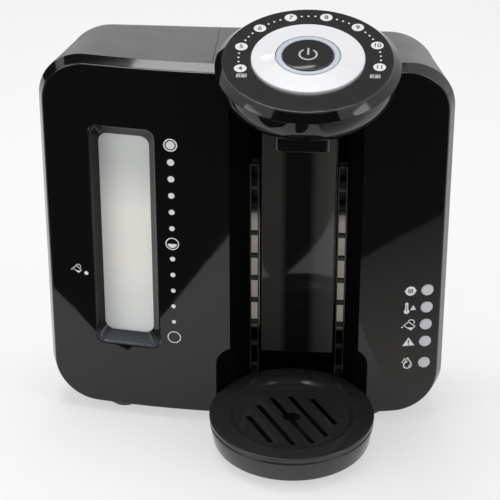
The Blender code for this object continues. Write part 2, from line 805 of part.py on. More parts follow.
def make_rack(name, x, satin):
    """One ladder: two rails with rungs, and a sill at its foot."""
    front = FACE_Y + BAY_REAR_START + GAP
    low = CASE_FLOOR + GAP
    high = rung_heights()[-1] + RUNG_PITCH
    half = RACK_WIDTH / 2
    rack = box(name, (x - half, front, low), (x + half, front + RACK_THICK, high), satin)
    sill = low + RACK_FOOT
    for index, height in enumerate(rung_heights() + [high]):
        under = height - RUNG_HEIGHT / 2
        cell = box(f"{name}_cell_{index}", (x - half + RACK_RAIL, front - OVERRUN, sill),
                   (x + half - RACK_RAIL, front + RACK_THICK + OVERRUN, under))
        cut(rack, cell)
        sill = height + RUNG_HEIGHT / 2
    return rack


def lamp_heights():
    """Five lamps: four at one pitch and the last set apart."""
    heights = [LAMP_TOP_HEIGHT - index * LAMP_PITCH for index in range(4)]
    return heights + [heights[-1] - LAMP_LAST_PITCH]


def lamp_point(height, depth):
    """A point behind the face, square to the bowed panel at the lamps."""
    turn = bow_turn(LAMP_X)
    return (LAMP_X - math.sin(turn) * depth, FACE_Y + bow(LAMP_X) + math.cos(turn) * depth, height)


def board_depth():
    return PANEL_WALL + GAP + LAMP_FLANGE + LAMP_STEM_LENGTH + KEY_TRAVEL + GAP


def board_post_heights():
    heights = lamp_heights()
    reach = LAMP_FLANGE_RADIUS + LAMP_BOARD_POST + SLIP
    return (heights[0] + reach, heights[-1] - reach)


def make_lamps(frost, board_green):
    """Five frosted caps; three are keys, which stop short of the board at rest."""
    names = ("key_filter", "lamp_temperature", "key_amount", "lamp_descale", "key_rinse")
    turn = Matrix.Rotation(bow_turn(LAMP_X), 4, "Z") @ Matrix.Rotation(-math.pi / 2, 4, "X")
    for name, height in zip(names, lamp_heights()):
        flange = PANEL_WALL + GAP
        stem = flange + LAMP_FLANGE + LAMP_STEM_LENGTH
        if name.startswith("lamp"):
            stem += KEY_TRAVEL
        profile = [(0.0, -LAMP_PROUD), (LAMP_RADIUS - LAMP_PROUD, -LAMP_PROUD),
                   (LAMP_RADIUS, 0.0), (LAMP_RADIUS, flange), (LAMP_FLANGE_RADIUS, flange),
                   (LAMP_FLANGE_RADIUS, flange + LAMP_FLANGE), (LAMP_STEM, flange + LAMP_FLANGE),
                   (LAMP_STEM, stem), (0.0, stem)]
        place = Matrix.Translation(lamp_point(height, 0.0)) @ turn
        turned(name, profile, frost, SMALL_STEPS, place)

    posts = board_post_heights()
    board = box("lamp_board", (-LAMP_BOARD_WIDTH / 2, 0.0, posts[1] - LAMP_BOARD_POST),
                (LAMP_BOARD_WIDTH / 2, LAMP_BOARD_THICK, posts[0] + LAMP_BOARD_POST), board_green)
    middle = lamp_point(0.0, board_depth())
    board.matrix_world = Matrix.Translation(middle) @ Matrix.Rotation(bow_turn(LAMP_X), 4, "Z")
    return board


def make_head(gloss, satin, white, frost, board_green):
    """Bowl, number cover, light ring, dial, start button and the board below them."""
    place = head_place()
    outer = bowl_curve()
    inner = [(r * (BOWL_RADIUS - BOWL_WALL) / BOWL_RADIUS,
              outer[0][1] + (h - outer[0][1]) * (BOWL_DEPTH - BOWL_WALL) / BOWL_DEPTH)
             for r, h in outer]
    inner[-1] = (BOWL_PORT, inner[-1][1])
    turned("head_bowl", outer + inner[::-1], gloss, place=place)

    under = -HEAD_COVER_WALL
    rim = -HEAD_RIM_DROP - HEAD_RIM_EDGE
    well = DIAL_RADIUS + SLIP
    floor = -WELL_DEPTH
    cover = [(HEAD_TOP_RADIUS, 0.0), (HEAD_RIM_RADIUS, -HEAD_RIM_DROP), (HEAD_RIM_RADIUS, rim),
             (BOWL_RADIUS - BOWL_WALL - SLIP, rim),
             (BOWL_RADIUS - BOWL_WALL - SLIP, rim - BOWL_WALL),
             (BOWL_RADIUS - 2 * BOWL_WALL, rim - BOWL_WALL),
             (BOWL_RADIUS - 2 * BOWL_WALL, under - HEAD_COVER_WALL),
             (HEAD_TOP_RADIUS - BOWL_WALL, under),
             (well + HEAD_COVER_WALL, under), (well + HEAD_COVER_WALL, floor - HEAD_COVER_WALL),
             (BUTTON_STEM + SLIP, floor - HEAD_COVER_WALL), (BUTTON_STEM + SLIP, floor),
             (well, floor), (well, 0.0)]
    number_cover = turned("head_number_cover", cover, gloss, place=place)
    post_ring = CONTROL_BOARD_RADIUS - 2 * STANDOFF_RADIUS
    for index in range(3):
        angle = math.tau * index / 3 + math.pi / 2
        x, y = post_ring * math.cos(angle), post_ring * math.sin(angle)
        post = rod(f"cover_post_{index}", place @ Vector((x, y, floor - HEAD_COVER_WALL / 2)),
                   place @ Vector((x, y, -CONTROL_BOARD_DEPTH + GAP)), STANDOFF_RADIUS, steps=POST_STEPS)
        join(number_cover, post)

    ring = [(BUTTON_RADIUS + GAP, LIGHT_RING_TOP), (LIGHT_RING_RADIUS - GAP, LIGHT_RING_TOP),
            (LIGHT_RING_RADIUS, LIGHT_RING_TOP - GAP), (LIGHT_RING_RADIUS, floor + GAP),
            (BUTTON_RADIUS + GAP, floor + GAP)]
    turned("light_ring", ring, frost, place=place)

    dial_profile = [(LIGHT_RING_RADIUS + GAP, DIAL_CROWN), (DIAL_RADIUS - DIAL_EDGE, DIAL_RISE),
                    (DIAL_RADIUS, DIAL_RISE - DIAL_EDGE), (DIAL_RADIUS, floor + GAP),
                    (LIGHT_RING_RADIUS + GAP, floor + GAP)]
    dial = turned("volume_dial", dial_profile, white, place=place)
    ball = (DIMPLE_RADIUS ** 2 + DIMPLE_DEPTH ** 2) / (2 * DIMPLE_DEPTH)
    angle = math.radians(FIRST_NUMBER_ANGLE)
    share = (DIMPLE_PLACE - LIGHT_RING_RADIUS) / (DIAL_RADIUS - LIGHT_RING_RADIUS)
    surface = DIAL_CROWN + (DIAL_RISE - DIAL_CROWN) * share
    spot = Vector((DIMPLE_PLACE * math.cos(angle), DIMPLE_PLACE * math.sin(angle),
                   surface - DIMPLE_DEPTH + ball))
    cut(dial, dimple_cutter("dial_dimple", place @ Matrix.Translation(spot), ball))

    stem_end = -CONTROL_BOARD_DEPTH + SWITCH_SIZE / 2 + GAP + BUTTON_TRAVEL
    button = [(0.0, BUTTON_TOP), (BUTTON_RADIUS / 2, BUTTON_TOP - BUTTON_DOME / 4),
              (BUTTON_RADIUS - BUTTON_DOME, BUTTON_TOP - BUTTON_DOME),
              (BUTTON_RADIUS, BUTTON_TOP - 2 * BUTTON_DOME), (BUTTON_RADIUS, -BUTTON_SKIRT),
              (BUTTON_STEM, -BUTTON_SKIRT), (BUTTON_STEM, stem_end), (0.0, stem_end)]
    turned("start_button", button, gloss, place=place)

    board_top = -CONTROL_BOARD_DEPTH
    board = [(0.0, board_top), (CONTROL_BOARD_RADIUS, board_top),
             (CONTROL_BOARD_RADIUS, board_top - BOARD_THICK), (0.0, board_top - BOARD_THICK)]
    turned("control_board", board, board_green, SMALL_STEPS, place)
    half = SWITCH_SIZE / 2
    switch = box("start_switch", (-half, -half, board_top + GAP), (half, half, board_top + half), satin)
    switch.matrix_world = place


def dimple_cutter(name, place, radius):
    """A ball of which only the lowest cap is kept, to press a shallow dimple."""
    profile = []
    reach = 2 * DIMPLE_RADIUS / radius
    for step in range(CORNER_STEPS + 1):
        angle = reach * (1 - step / CORNER_STEPS)
        profile.append((radius * math.sin(angle), -radius * math.cos(angle)))
    profile[-1] = (0.0, -radius)
    return turned(name, [(0.0, profile[0][1])] + profile, None, SMALL_STEPS, place)


def make_outlet(gloss, steel):
    """The outlet housing that hangs under the bowl, with its two nozzles."""
    middle, y = BAY_X + OUTLET_ASIDE, FACE_Y - OUTLET_SET_OUT
    front, back = y - OUTLET_LENGTH / 2, y + OUTLET_LENGTH / 2
    half = OUTLET_WIDTH / 2
    corners = [(middle - half, front), (middle + half, front), (middle + half, back),
               (middle - half, back)]
    top = HEAD_CENTRE_HEIGHT - BOWL_DEPTH
    housing = prism("outlet_housing", filleted(corners, OUTLET_ROUND), OUTLET_LOW, top,
                    material=gloss)
    bevel = housing.modifiers.new("lower_edge", "BEVEL")
    bevel.width = EDGE_ROUND
    bevel.segments = 2
    bevel.limit_method = "ANGLE"
    bevel.angle_limit = math.radians(60)
    cut(housing, bowl_space("outlet_seat", GAP))
    for name, side in (("hot_nozzle", -1), ("cold_nozzle", 1)):
        x = middle + side * NOZZLE_SPACING / 2
        cut(housing, rod(f"{name}_hole", (x, y, OUTLET_LOW - OVERRUN), (x, y, top + OVERRUN),
                         NOZZLE_RADIUS + GAP))
        high = OUTLET_LOW + NOZZLE_DROP
        profile = [(NOZZLE_RADIUS, high), (NOZZLE_RADIUS, OUTLET_LOW - NOZZLE_DROP / 2),
                   (NOZZLE_RADIUS - GAP, OUTLET_LOW - NOZZLE_DROP),
                   (NOZZLE_BORE, OUTLET_LOW - NOZZLE_DROP), (NOZZLE_BORE, high)]
        turned(name, profile, steel, SMALL_STEPS, Matrix.Translation((x, y, 0.0)))


def tank_plan(inset):
    """Plan of the tank: bowed in front, square behind, with rounded corners."""
    front = FACE_Y + RIM_DEPTH + TANK_FRONT_CLEARANCE
    back = BACK_Y - CASE_WALL - TANK_BACK_CLEARANCE
    left, right = TANK_LEFT, TANK_RIGHT
    reach = right - left
    places = [left + reach * step / TANK_STRIPS for step in range(1, TANK_STRIPS)]
    bowed = [(x, front + bow(x) + inset) for x in places]
    corners = [(left + inset, front + bow(left) + inset)] + bowed \
        + [(right - inset, front + bow(right) + inset), (right - inset, back - inset),
           (left + inset, back - inset)]
    return filleted(corners, TANK_CORNER - inset)


def make_tank(frosted, satin, rubber, steel):
    """Open-topped tank with its outlet spout, lid, filter and spring valve."""
    tank = prism("water_tank", tank_plan(0.0), TANK_LOW, TANK_HIGH, material=frosted)
    x, y = socket_place()
    spout_low = TANK_LOW - SPOUT_LENGTH
    join(tank, rod("tank_spout", (x, y, spout_low), (x, y, TANK_LOW + TANK_WALL / 2), SPOUT_RADIUS))
    cut(tank, prism("tank_hollow", tank_plan(TANK_WALL), TANK_LOW + TANK_WALL,
                    TANK_HIGH + OVERRUN))
    bore = turned("spout_bore", [(0.0, spout_low - OVERRUN), (SPOUT_BORE, spout_low - OVERRUN),
                                 (SPOUT_BORE, TANK_LOW), (VALVE_STEM + SLIP, TANK_LOW),
                                 (VALVE_STEM + SLIP, TANK_LOW + OVERRUN), (0.0, TANK_LOW + OVERRUN)],
                  None, SMALL_STEPS, Matrix.Translation((x, y, 0.0)))
    cut(tank, bore)

    seat = TANK_LOW + TANK_WALL + GAP
    foot = spout_low + GAP
    valve = [(0.0, seat + VALVE_DISC_THICK), (VALVE_DISC, seat + VALVE_DISC_THICK),
             (VALVE_DISC, seat), (VALVE_STEM, seat), (VALVE_STEM, foot + VALVE_FOOT_THICK),
             (VALVE_FOOT, foot + VALVE_FOOT_THICK), (VALVE_FOOT, foot), (0.0, foot)]
    turned("valve_plunger", valve, rubber, SMALL_STEPS, Matrix.Translation((x, y, 0.0)))
    make_spring(x, y, foot + VALVE_FOOT_THICK + GAP + SPRING_WIRE, TANK_LOW - GAP - SPRING_WIRE, steel)

    top = seat + FILTER_HEIGHT
    outer, inner = FILTER_RADIUS, FILTER_RADIUS - FILTER_WALL
    shell = [(0.0, top), (FILTER_KNOB, top), (FILTER_KNOB, top - FILTER_KNOB),
             (outer, top - FILTER_KNOB), (outer, seat), (inner, seat),
             (inner, top - FILTER_KNOB - FILTER_WALL), (0.0, top - FILTER_KNOB - FILTER_WALL)]
    turned("filter_cartridge", shell, satin, SMALL_STEPS, Matrix.Translation((x, y, 0.0)))

    lid = bowed_body("tank_lid", case_sections(0.0, FACE_Y + RIM_DEPTH + GAP), satin)
    side = box("lid_side", (-REACH, -REACH, LID_SEAM), (LID_RIGHT, REACH, REACH))
    keep(lid, side)
    hollow = bowed_body("lid_hollow", case_sections(LID_WALL, FACE_Y + RIM_DEPTH + GAP + LID_WALL))
    hollow_side = box("lid_hollow_side", (-REACH, -REACH, LID_SEAM - OVERRUN),
                      (LID_RIGHT - LID_WALL, REACH, REACH))
    keep(hollow, hollow_side)
    cut(lid, hollow)
    under_lid = bowed_body("under_lid", case_sections(LID_WALL / 2, FACE_Y + RIM_DEPTH + LID_WALL / 2))
    rib_z = TANK_HIGH + GAP
    back = BACK_Y - CASE_WALL - TANK_BACK_CLEARANCE
    for place in (TANK_LEFT + TANK_CORNER * 2, TANK_RIGHT - TANK_CORNER * 2):
        front = FACE_Y + RIM_DEPTH + GAP + bow(place)
        for start, end in ((front, front + TANK_CORNER), (back - TANK_CORNER, back)):
            rib = box("lid_rib", (place, start, rib_z), (place + LID_RIB, end, CASE_TOP))
            keep(rib, under_lid)
            join(lid, rib)


def make_spring(x, y, low, high, steel):
    """A coil round the valve's stem, as one swept wire."""
    count = SPRING_TURNS * COIL_STEPS
    curve = bpy.data.curves.new("valve_spring", "CURVE")
    curve.dimensions = "3D"
    curve.bevel_depth = SPRING_WIRE / 2
    curve.bevel_resolution = 1
    curve.use_fill_caps = True
    line = curve.splines.new("POLY")
    line.points.add(count)
    for index in range(count + 1):
        angle = math.tau * SPRING_TURNS * index / count
        height = low + (high - low) * index / count
        line.points[index].co = (x + SPRING_RADIUS * math.cos(angle),
                                 y + SPRING_RADIUS * math.sin(angle), height, 1.0)
    return swept_mesh(curve, steel)


def swept_mesh(curve, material):
    """A swept curve as a mesh object with its end caps welded on."""
    guide = bpy.data.objects.new("guide", curve)
    bpy.context.scene.collection.objects.link(guide)
    evaluated = guide.evaluated_get(bpy.context.evaluated_depsgraph_get())
    mesh = bpy.data.meshes.new_from_object(evaluated)
    mesh.name = curve.name
    bpy.data.objects.remove(guide)
    work = bmesh.new()
    work.from_mesh(mesh)
    bmesh.ops.remove_doubles(work, verts=work.verts, dist=GAP / 100)
    bmesh.ops.recalc_face_normals(work, faces=work.faces)
    work.to_mesh(mesh)
    work.free()
    mesh.materials.clear()
    return add_object(curve.name, mesh, material)


def socket_place():
    """Where the tank's spout stands, in plan."""
    return (SOCKET_X, cradle_front() + CRADLE_WALL + SOCKET_RADIUS + SOCKET_MARGIN)


def cradle_front():
    return FACE_Y + RIM_DEPTH + bow(CRADLE_LEFT) + CRADLE_WALL


def make_tank_seat(satin, rubber):
    """Cradle on the floor, the socket that the spout stands in, its seal, a partition."""
    x, y = socket_place()
    floor = CASE_FLOOR + GAP
    top = TANK_LOW - GAP
    front = cradle_front()
    back = BACK_Y - BACK_ROUND - GAP
    wall = CRADLE_WALL
    cradle = box("tank_cradle", (CRADLE_LEFT, front, floor), (TANK_RIGHT, back, top), satin)
    keep(cradle, interior("cradle_room"))
    cut(cradle, box("cradle_hollow", (CRADLE_LEFT + wall, front + wall, floor + CRADLE_FLOOR),
                    (TANK_RIGHT - wall, back - wall, top + OVERRUN)))
    hose_y, hose_z = feed_run()
    passage = rod("cradle_passage", (TANK_RIGHT - wall - OVERRUN, hose_y, hose_z),
                  (TANK_RIGHT + OVERRUN, hose_y, hose_z), HOSE_RADIUS + SLIP)
    cut(cradle, passage)

    low = floor + CRADLE_FLOOR + GAP
    cup_floor = low + SOCKET_FLOOR
    pin = TANK_LOW - SPOUT_LENGTH
    profile = [(0.0, pin), (VALVE_STEM, pin), (VALVE_STEM, cup_floor), (SOCKET_CUP, cup_floor),
               (SOCKET_CUP, top), (SOCKET_RADIUS, top), (SOCKET_RADIUS, low), (0.0, low)]
    socket = turned("tank_socket", profile, satin, SMALL_STEPS, Matrix.Translation((x, y, 0.0)))
    join(socket, rod("socket_port", (x, y + (SOCKET_CUP + SOCKET_RADIUS) / 2, hose_z),
                     (x, socket_port_end(), hose_z), PORT_RADIUS, steps=SMALL_STEPS))

    room = pin - cup_floor - 2 * GAP
    ring = []
    for step in range(POST_STEPS):
        angle = math.tau * step / POST_STEPS
        ring.append((SOCKET_CUP - SEAL_WIRE - GAP - SEAL_WIRE * math.cos(angle),
                     cup_floor + GAP + room / 2 - room / 2 * math.sin(angle)))
    turned("socket_seal", ring, rubber, SMALL_STEPS, Matrix.Translation((x, y, 0.0)))

    left = LID_RIGHT + GAP
    partition = box("tank_partition", (left, FACE_Y, floor),
                    (left + PARTITION_THICK, BACK_Y, CASE_TOP), satin)
    keep(partition, interior("partition_room"))
    hole = rod("partition_passage", (left - OVERRUN, hose_y, hose_z),
               (left + PARTITION_THICK + OVERRUN, hose_y, hose_z), HOSE_RADIUS + SLIP)
    cut(partition, pocket("partition_pocket", BAY_WALL + GAP), hole)


def socket_port_end():
    return socket_place()[1] + SOCKET_RADIUS + PORT_RADIUS


def feed_run():
    """Place behind the bay, in y and z, where the feed hose crosses the machine."""
    return (BACK_Y - BACK_ROUND - CRADLE_WALL - HOSE_RADIUS - SLIP - GAP,
            CASE_FLOOR + 2 * GAP + CRADLE_FLOOR + HOSE_RADIUS + GAP)


def boiler_line():
    """The boiler's axis, in y, held off the casing's back by its legs."""
    return BACK_Y - CASE_WALL - BOILER_LEG - BOILER_RADIUS


def slot_outline(length, across, along):
    """A slot with round ends, turned and placed on the grille."""
    half, radius = length / 2 - SLOT_WIDTH / 2, SLOT_WIDTH / 2
    turn = Matrix.Rotation(math.radians(-SLOT_TURN), 2)
    points = []
    for end, start in ((1, -90), (-1, 90)):
        for step in range(CORNER_STEPS + 1):
            angle = math.radians(start + 180 * step / CORNER_STEPS)
            spot = Vector((end * half + radius * math.cos(angle) + along,
                           radius * math.sin(angle) + across))
            spot = turn @ spot
            points.append((BAY_X + spot.x, TRAY_Y + spot.y))
    return points


def make_tray(satin, gloss):
    """Drip bowl with two tongues for the racks, and the slotted grille that lifts off."""
    rim_low = TRAY_TOP - GRILLE_RIM
    seat = rim_low - GAP
    base_top = rim_low - TRAY_SEAM
    step_in = TRAY_RADIUS - TRAY_SEAM
    foot = TRAY_RADIUS - TRAY_TAPER
    half_round = TRAY_FOOT_ROUND * (1 - math.sqrt(0.5))
    profile = [(0.0, TRAY_UNDERSIDE), (foot - TRAY_FOOT_ROUND, TRAY_UNDERSIDE),
               (foot - half_round, TRAY_UNDERSIDE + half_round),
               (foot, TRAY_UNDERSIDE + TRAY_FOOT_ROUND), (TRAY_RADIUS, base_top),
               (step_in, base_top), (step_in, seat), (0.0, seat)]
    place = Matrix.Translation((BAY_X, TRAY_Y, 0.0))
    base = turned("tray_base", profile, satin, place=place)
    sill = CASE_FLOOR + GAP + RACK_FOOT + GAP
    end = FACE_Y + BAY_REAR_START + GAP + TONGUE_REACH
    for side in (-1, 1):
        x = BAY_X + side * RACK_X_OFFSET
        start = TRAY_Y + math.sqrt((foot - TRAY_WALL) ** 2 - RACK_X_OFFSET ** 2)
        tongue = box(f"tongue_{side + 1}", (x - TONGUE_WIDTH / 2, start, sill),
                     (x + TONGUE_WIDTH / 2, end, sill + TONGUE_HEIGHT))
        join(base, tongue)
    inner = [(0.0, TRAY_UNDERSIDE + TRAY_WALL), (foot - TRAY_FOOT_ROUND, TRAY_UNDERSIDE + TRAY_WALL),
             (foot - TRAY_WALL, TRAY_UNDERSIDE + TRAY_FOOT_ROUND + TRAY_WALL),
             (step_in - TRAY_WALL, seat + OVERRUN), (0.0, seat + OVERRUN)]
    cut(base, turned("tray_hollow", inner, place=place))

    dish = TRAY_TOP - GRILLE_DISH_DEPTH
    rim_in = step_in - TRAY_WALL - SLIP
    plate = GRILLE_PLATE
    profile = [(0.0, dish), (GRILLE_DISH_INNER, dish), (GRILLE_DISH_OUTER, TRAY_TOP),
               (TRAY_RADIUS - EDGE_ROUND / 2, TRAY_TOP), (TRAY_RADIUS, TRAY_TOP - EDGE_ROUND / 2),
               (TRAY_RADIUS, rim_low), (rim_in, rim_low), (rim_in, rim_low - TRAY_SEAM),
               (rim_in - plate, rim_low - TRAY_SEAM), (rim_in - plate, TRAY_TOP - plate),
               (GRILLE_DISH_OUTER, TRAY_TOP - plate), (GRILLE_DISH_INNER, dish - plate),
               (0.0, dish - plate)]
    grille = turned("tray_grille", profile, gloss, place=place)
    low, high = dish - plate - OVERRUN, TRAY_TOP + OVERRUN
    middle = (len(SLOT_LENGTHS) - 1) / 2
    for index, length in enumerate(SLOT_LENGTHS):
        across = (index - middle) * SLOT_PITCH - SLOT_WIDTH / 2
        slot = prism(f"grille_slot_{index}", slot_outline(length, across, SLOT_WIDTH), low, high)
        cut(grille, slot)
    cut(grille, rod("grille_keyhole", (BAY_X, TRAY_Y, low), (BAY_X, TRAY_Y, high), KEYHOLE_RADIUS))


def smooth_route(points, spacing):
    """Points along a smooth curve through a hose's own points."""
    route = [Vector(p) for p in points]
    padded = [2 * route[0] - route[1]] + route + [2 * route[-1] - route[-2]]
    smooth = []
    for i in range(1, len(padded) - 2):
        a, b, c, d = padded[i - 1:i + 3]
        steps = max(1, round((c - b).length / spacing))
        for step in range(steps):
            t = step / steps
            smooth.append(0.5 * (2 * b + (c - a) * t + (2 * a - 5 * b + 4 * c - d) * t ** 2
                                 + (3 * b - a - 3 * c + d) * t ** 3))
    smooth.append(route[-1])
    return smooth


def make_hose(name, points, rubber):
    curve = bpy.data.curves.new(name, "CURVE")
    curve.dimensions = "3D"
    curve.bevel_depth = HOSE_RADIUS
    curve.bevel_resolution = 2
    curve.use_fill_caps = True
    route = smooth_route(points, HOSE_RADIUS * 3)
    line = curve.splines.new("POLY")
    line.points.add(len(route) - 1)
    for point, spot in zip(line.points, route):
        point.co = (*spot, 1.0)
    return swept_mesh(curve, rubber)


def make_works(satin, steel, rubber, board_green):
    """Pump, boiler, hoses, power board and the gland where the mains lead enters."""
    floor = CASE_FLOOR + GAP
    pump_top = floor + PUMP_LENGTH
    neck = PORT_RADIUS * 2
    profile = [(0.0, pump_top + neck), (PORT_RADIUS, pump_top + neck), (PORT_RADIUS, pump_top),
               (PUMP_RADIUS, pump_top), (PUMP_RADIUS, floor), (0.0, floor)]
    pump = turned("pump", profile, satin, SMALL_STEPS, Matrix.Translation((PUMP_X, PUMP_Y, 0.0)))
    hose_y, hose_z = feed_run()
    inlet_end = PUMP_Y + PUMP_RADIUS + PORT_RADIUS
    join(pump, rod("pump_inlet", (PUMP_X, PUMP_Y, hose_z), (PUMP_X, inlet_end, hose_z),
                   PORT_RADIUS, steps=SMALL_STEPS))

    boiler_y = boiler_line()
    boiler_left, boiler_right = BAY_X - BOILER_LENGTH / 2, BAY_X + BOILER_LENGTH / 2
    boiler = rod("boiler", (boiler_left, boiler_y, BOILER_HEIGHT), (boiler_right, boiler_y, BOILER_HEIGHT),
                 BOILER_RADIUS, steel)
    join(boiler, rod("boiler_ports", (boiler_left - neck, boiler_y, BOILER_HEIGHT),
                     (boiler_right + neck, boiler_y, BOILER_HEIGHT), PORT_RADIUS, steps=SMALL_STEPS))
    for side in (-1, 1):
        x = BAY_X + side * BOILER_LENGTH / 3
        leg = box(f"boiler_leg_{side + 1}", (x - BOILER_LEG / 2, boiler_y, BOILER_HEIGHT - BOILER_LEG),
                  (x + BOILER_LEG / 2, BACK_Y - CASE_WALL - GAP, BOILER_HEIGHT + BOILER_LEG))
        join(boiler, leg)

    x, _ = socket_place()
    start = socket_port_end() + GAP
    turn = HOSE_RADIUS * 3
    make_hose("feed_hose", [(x, start, hose_z), (x, start + HOSE_RADIUS, hose_z),
                            (x + turn, hose_y, hose_z), (x + 2 * turn, hose_y, hose_z),
                            (PUMP_X - 2 * turn, hose_y, hose_z), (PUMP_X - turn / 2, hose_y, hose_z),
                            (PUMP_X, inlet_end + HOSE_RADIUS / 2, hose_z),
                            (PUMP_X, inlet_end + GAP, hose_z)], rubber)
    right_end = boiler_right + neck + GAP
    pump_end = pump_top + neck + GAP
    make_hose("boiler_hose", [(PUMP_X, PUMP_Y, pump_end), (PUMP_X, PUMP_Y, pump_end + turn),
                              (PUMP_X, (PUMP_Y + boiler_y) / 2, BOILER_HEIGHT - 2 * turn),
                              (right_end + turn, boiler_y, BOILER_HEIGHT),
                              (right_end, boiler_y, BOILER_HEIGHT)], rubber)
    return boiler_left - neck - GAP


def make_outlet_hose(left_end, rubber):
    """The hot hose from the boiler up to the barb behind the bowl."""
    hose_y = boiler_line()
    turn = HOSE_RADIUS * 3
    tip = barb_tip()
    out = barb_direction()
    start = tip + out * GAP
    make_hose("outlet_hose", [(left_end, hose_y, BOILER_HEIGHT),
                              (left_end - HOSE_RADIUS, hose_y, BOILER_HEIGHT),
                              (left_end - turn - HOSE_RADIUS, hose_y, BOILER_HEIGHT + turn),
                              (left_end - turn - HOSE_RADIUS, hose_y, BOILER_HEIGHT + 3 * turn),
                              (left_end + turn, hose_y, (BOILER_HEIGHT + HEAD_CENTRE_HEIGHT) / 2),
                              (HEAD_X, hose_y, start.z - turn),
                              tuple(start + out * turn / 2), tuple(start)], rubber)


def barb_direction():
    """The barb leaves the bowl's back, pointing back and a little down."""
    return Matrix.Rotation(math.radians(BARB_TURN), 3, "X") @ Vector((0.0, 0.0, -1.0))


def barb_root():
    """A point inside the bowl's rear wall."""
    angle = math.radians(BARB_ANGLE)
    radius, height = bowl_point(angle, BOWL_RADIUS, BOWL_DEPTH)
    inside = Vector((0.0, radius - BOWL_WALL / 2, height))
    return head_place() @ inside


def barb_tip():
    return barb_root() + barb_direction() * BARB_LENGTH


def make_boards(steel, board_green, rubber):
    """Power board on its standoffs, and the gland of the mains inlet."""
    back = BACK_Y - CASE_WALL - GAP
    front = back - POWER_BOARD_STANDOFF - BOARD_THICK
    half = POWER_BOARD_WIDTH / 2
    high = POWER_BOARD_LOW + POWER_BOARD_HEIGHT
    board = box("power_board", (POWER_BOARD_X - half, front, POWER_BOARD_LOW),
                (POWER_BOARD_X + half, front + BOARD_THICK, high), board_green)
    inset = 2 * STANDOFF_RADIUS
    for index, (x, z) in enumerate(((POWER_BOARD_X - half + inset, POWER_BOARD_LOW + inset),
                                    (POWER_BOARD_X + half - inset, POWER_BOARD_LOW + inset),
                                    (POWER_BOARD_X - half + inset, high - inset),
                                    (POWER_BOARD_X + half - inset, high - inset))):
        join(board, rod(f"standoff_{index}", (x, front + BOARD_THICK / 2, z), (x, back, z),
                        STANDOFF_RADIUS, steps=POST_STEPS))

    outer_face = GAP + GLAND_FLANGE_THICK
    inner_end = -CASE_WALL - GLAND_FLANGE_THICK
    profile = [(GLAND_BORE, outer_face), (GLAND_FLANGE, outer_face), (GLAND_FLANGE, GAP),
               (GLAND_RADIUS, GAP), (GLAND_RADIUS, inner_end), (GLAND_BORE, inner_end)]
    place = Matrix.Translation((GLAND_X, BACK_Y, GLAND_HEIGHT)) \
        @ Matrix.Rotation(-math.pi / 2, 4, "X")
    turned("inlet_gland", profile, rubber, SMALL_STEPS, place)


def build():
    clear_scene()
    gloss = plastic("gloss_black", (0.012, 0.011, 0.011), 0.08)
    satin = plastic("satin_black", (0.045, 0.043, 0.042), 0.45)
    white = plastic("white_dial", (0.86, 0.87, 0.90), 0.35)
    frost = plastic("frosted_lamp", (0.60, 0.62, 0.66), 0.50)
    tank_clear = plastic("frosted_tank", (0.55, 0.58, 0.57), 0.55, transmission=0.3)
    rubber = plastic("black_rubber", (0.020, 0.020, 0.020), 0.80)
    steel = plastic("plain_steel", (0.55, 0.55, 0.56), 0.30, metallic=1.0)
    board_green = plastic("circuit_board", (0.020, 0.110, 0.050), 0.60)

    make_front_panels(gloss)
    make_window_bezel(gloss)
    make_rear_casing(satin)
    make_base(satin, rubber, steel)
    make_bay(gloss, satin)
    for name, side in (("rack_left", -1), ("rack_right", 1)):
        make_rack(name, BAY_X + side * RACK_X_OFFSET, satin)
    make_head(gloss, satin, white, frost, board_green)
    barb = rod("bowl_barb", barb_root(), barb_tip(), PORT_RADIUS, steps=SMALL_STEPS)
    join(bpy.data.objects["head_bowl"], barb)
    make_outlet(gloss, steel)
    make_lamps(frost, board_green)
    make_tank_seat(satin, rubber)
    make_tank(tank_clear, satin, rubber, steel)
    make_tray(satin, gloss)
    left_end = make_works(satin, steel, rubber, board_green)
    make_outlet_hose(left_end, rubber)
    make_boards(steel, board_green, rubber)


build()
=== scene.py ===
import math

import bmesh
import bpy
from mathutils import Matrix, Vector


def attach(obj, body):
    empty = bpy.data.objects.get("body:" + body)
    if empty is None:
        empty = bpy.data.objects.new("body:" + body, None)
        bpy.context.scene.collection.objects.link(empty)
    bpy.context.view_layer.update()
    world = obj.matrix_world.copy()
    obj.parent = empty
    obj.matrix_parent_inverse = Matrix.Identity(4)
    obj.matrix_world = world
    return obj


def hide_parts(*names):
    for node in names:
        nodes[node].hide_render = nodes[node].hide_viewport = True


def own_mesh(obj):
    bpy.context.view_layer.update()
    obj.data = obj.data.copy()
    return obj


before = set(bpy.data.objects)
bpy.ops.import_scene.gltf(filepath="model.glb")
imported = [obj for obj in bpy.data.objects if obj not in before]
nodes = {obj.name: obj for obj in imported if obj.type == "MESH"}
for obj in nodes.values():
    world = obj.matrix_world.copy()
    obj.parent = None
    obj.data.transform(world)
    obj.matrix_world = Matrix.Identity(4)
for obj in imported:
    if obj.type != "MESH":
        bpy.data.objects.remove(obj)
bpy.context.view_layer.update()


# Studio
# A pale table top, one large soft box overhead and a fill on each side.
# Black cards, seen only in gloss, give the dark reflections of the real studio.

scene = bpy.context.scene
scene.view_settings.view_transform = "Standard"

CAMERA_YAW = math.radians(3.9)
CAMERA_PITCH = math.radians(29.1)
CAMERA_DISTANCE = 1.465
CAMERA_TARGET = Vector((0.005, -0.0045, 0.1526))

def linked(name, data):
    """A new object in the scene."""
    item = bpy.data.objects.new(name, data)
    scene.collection.objects.link(item)
    return item


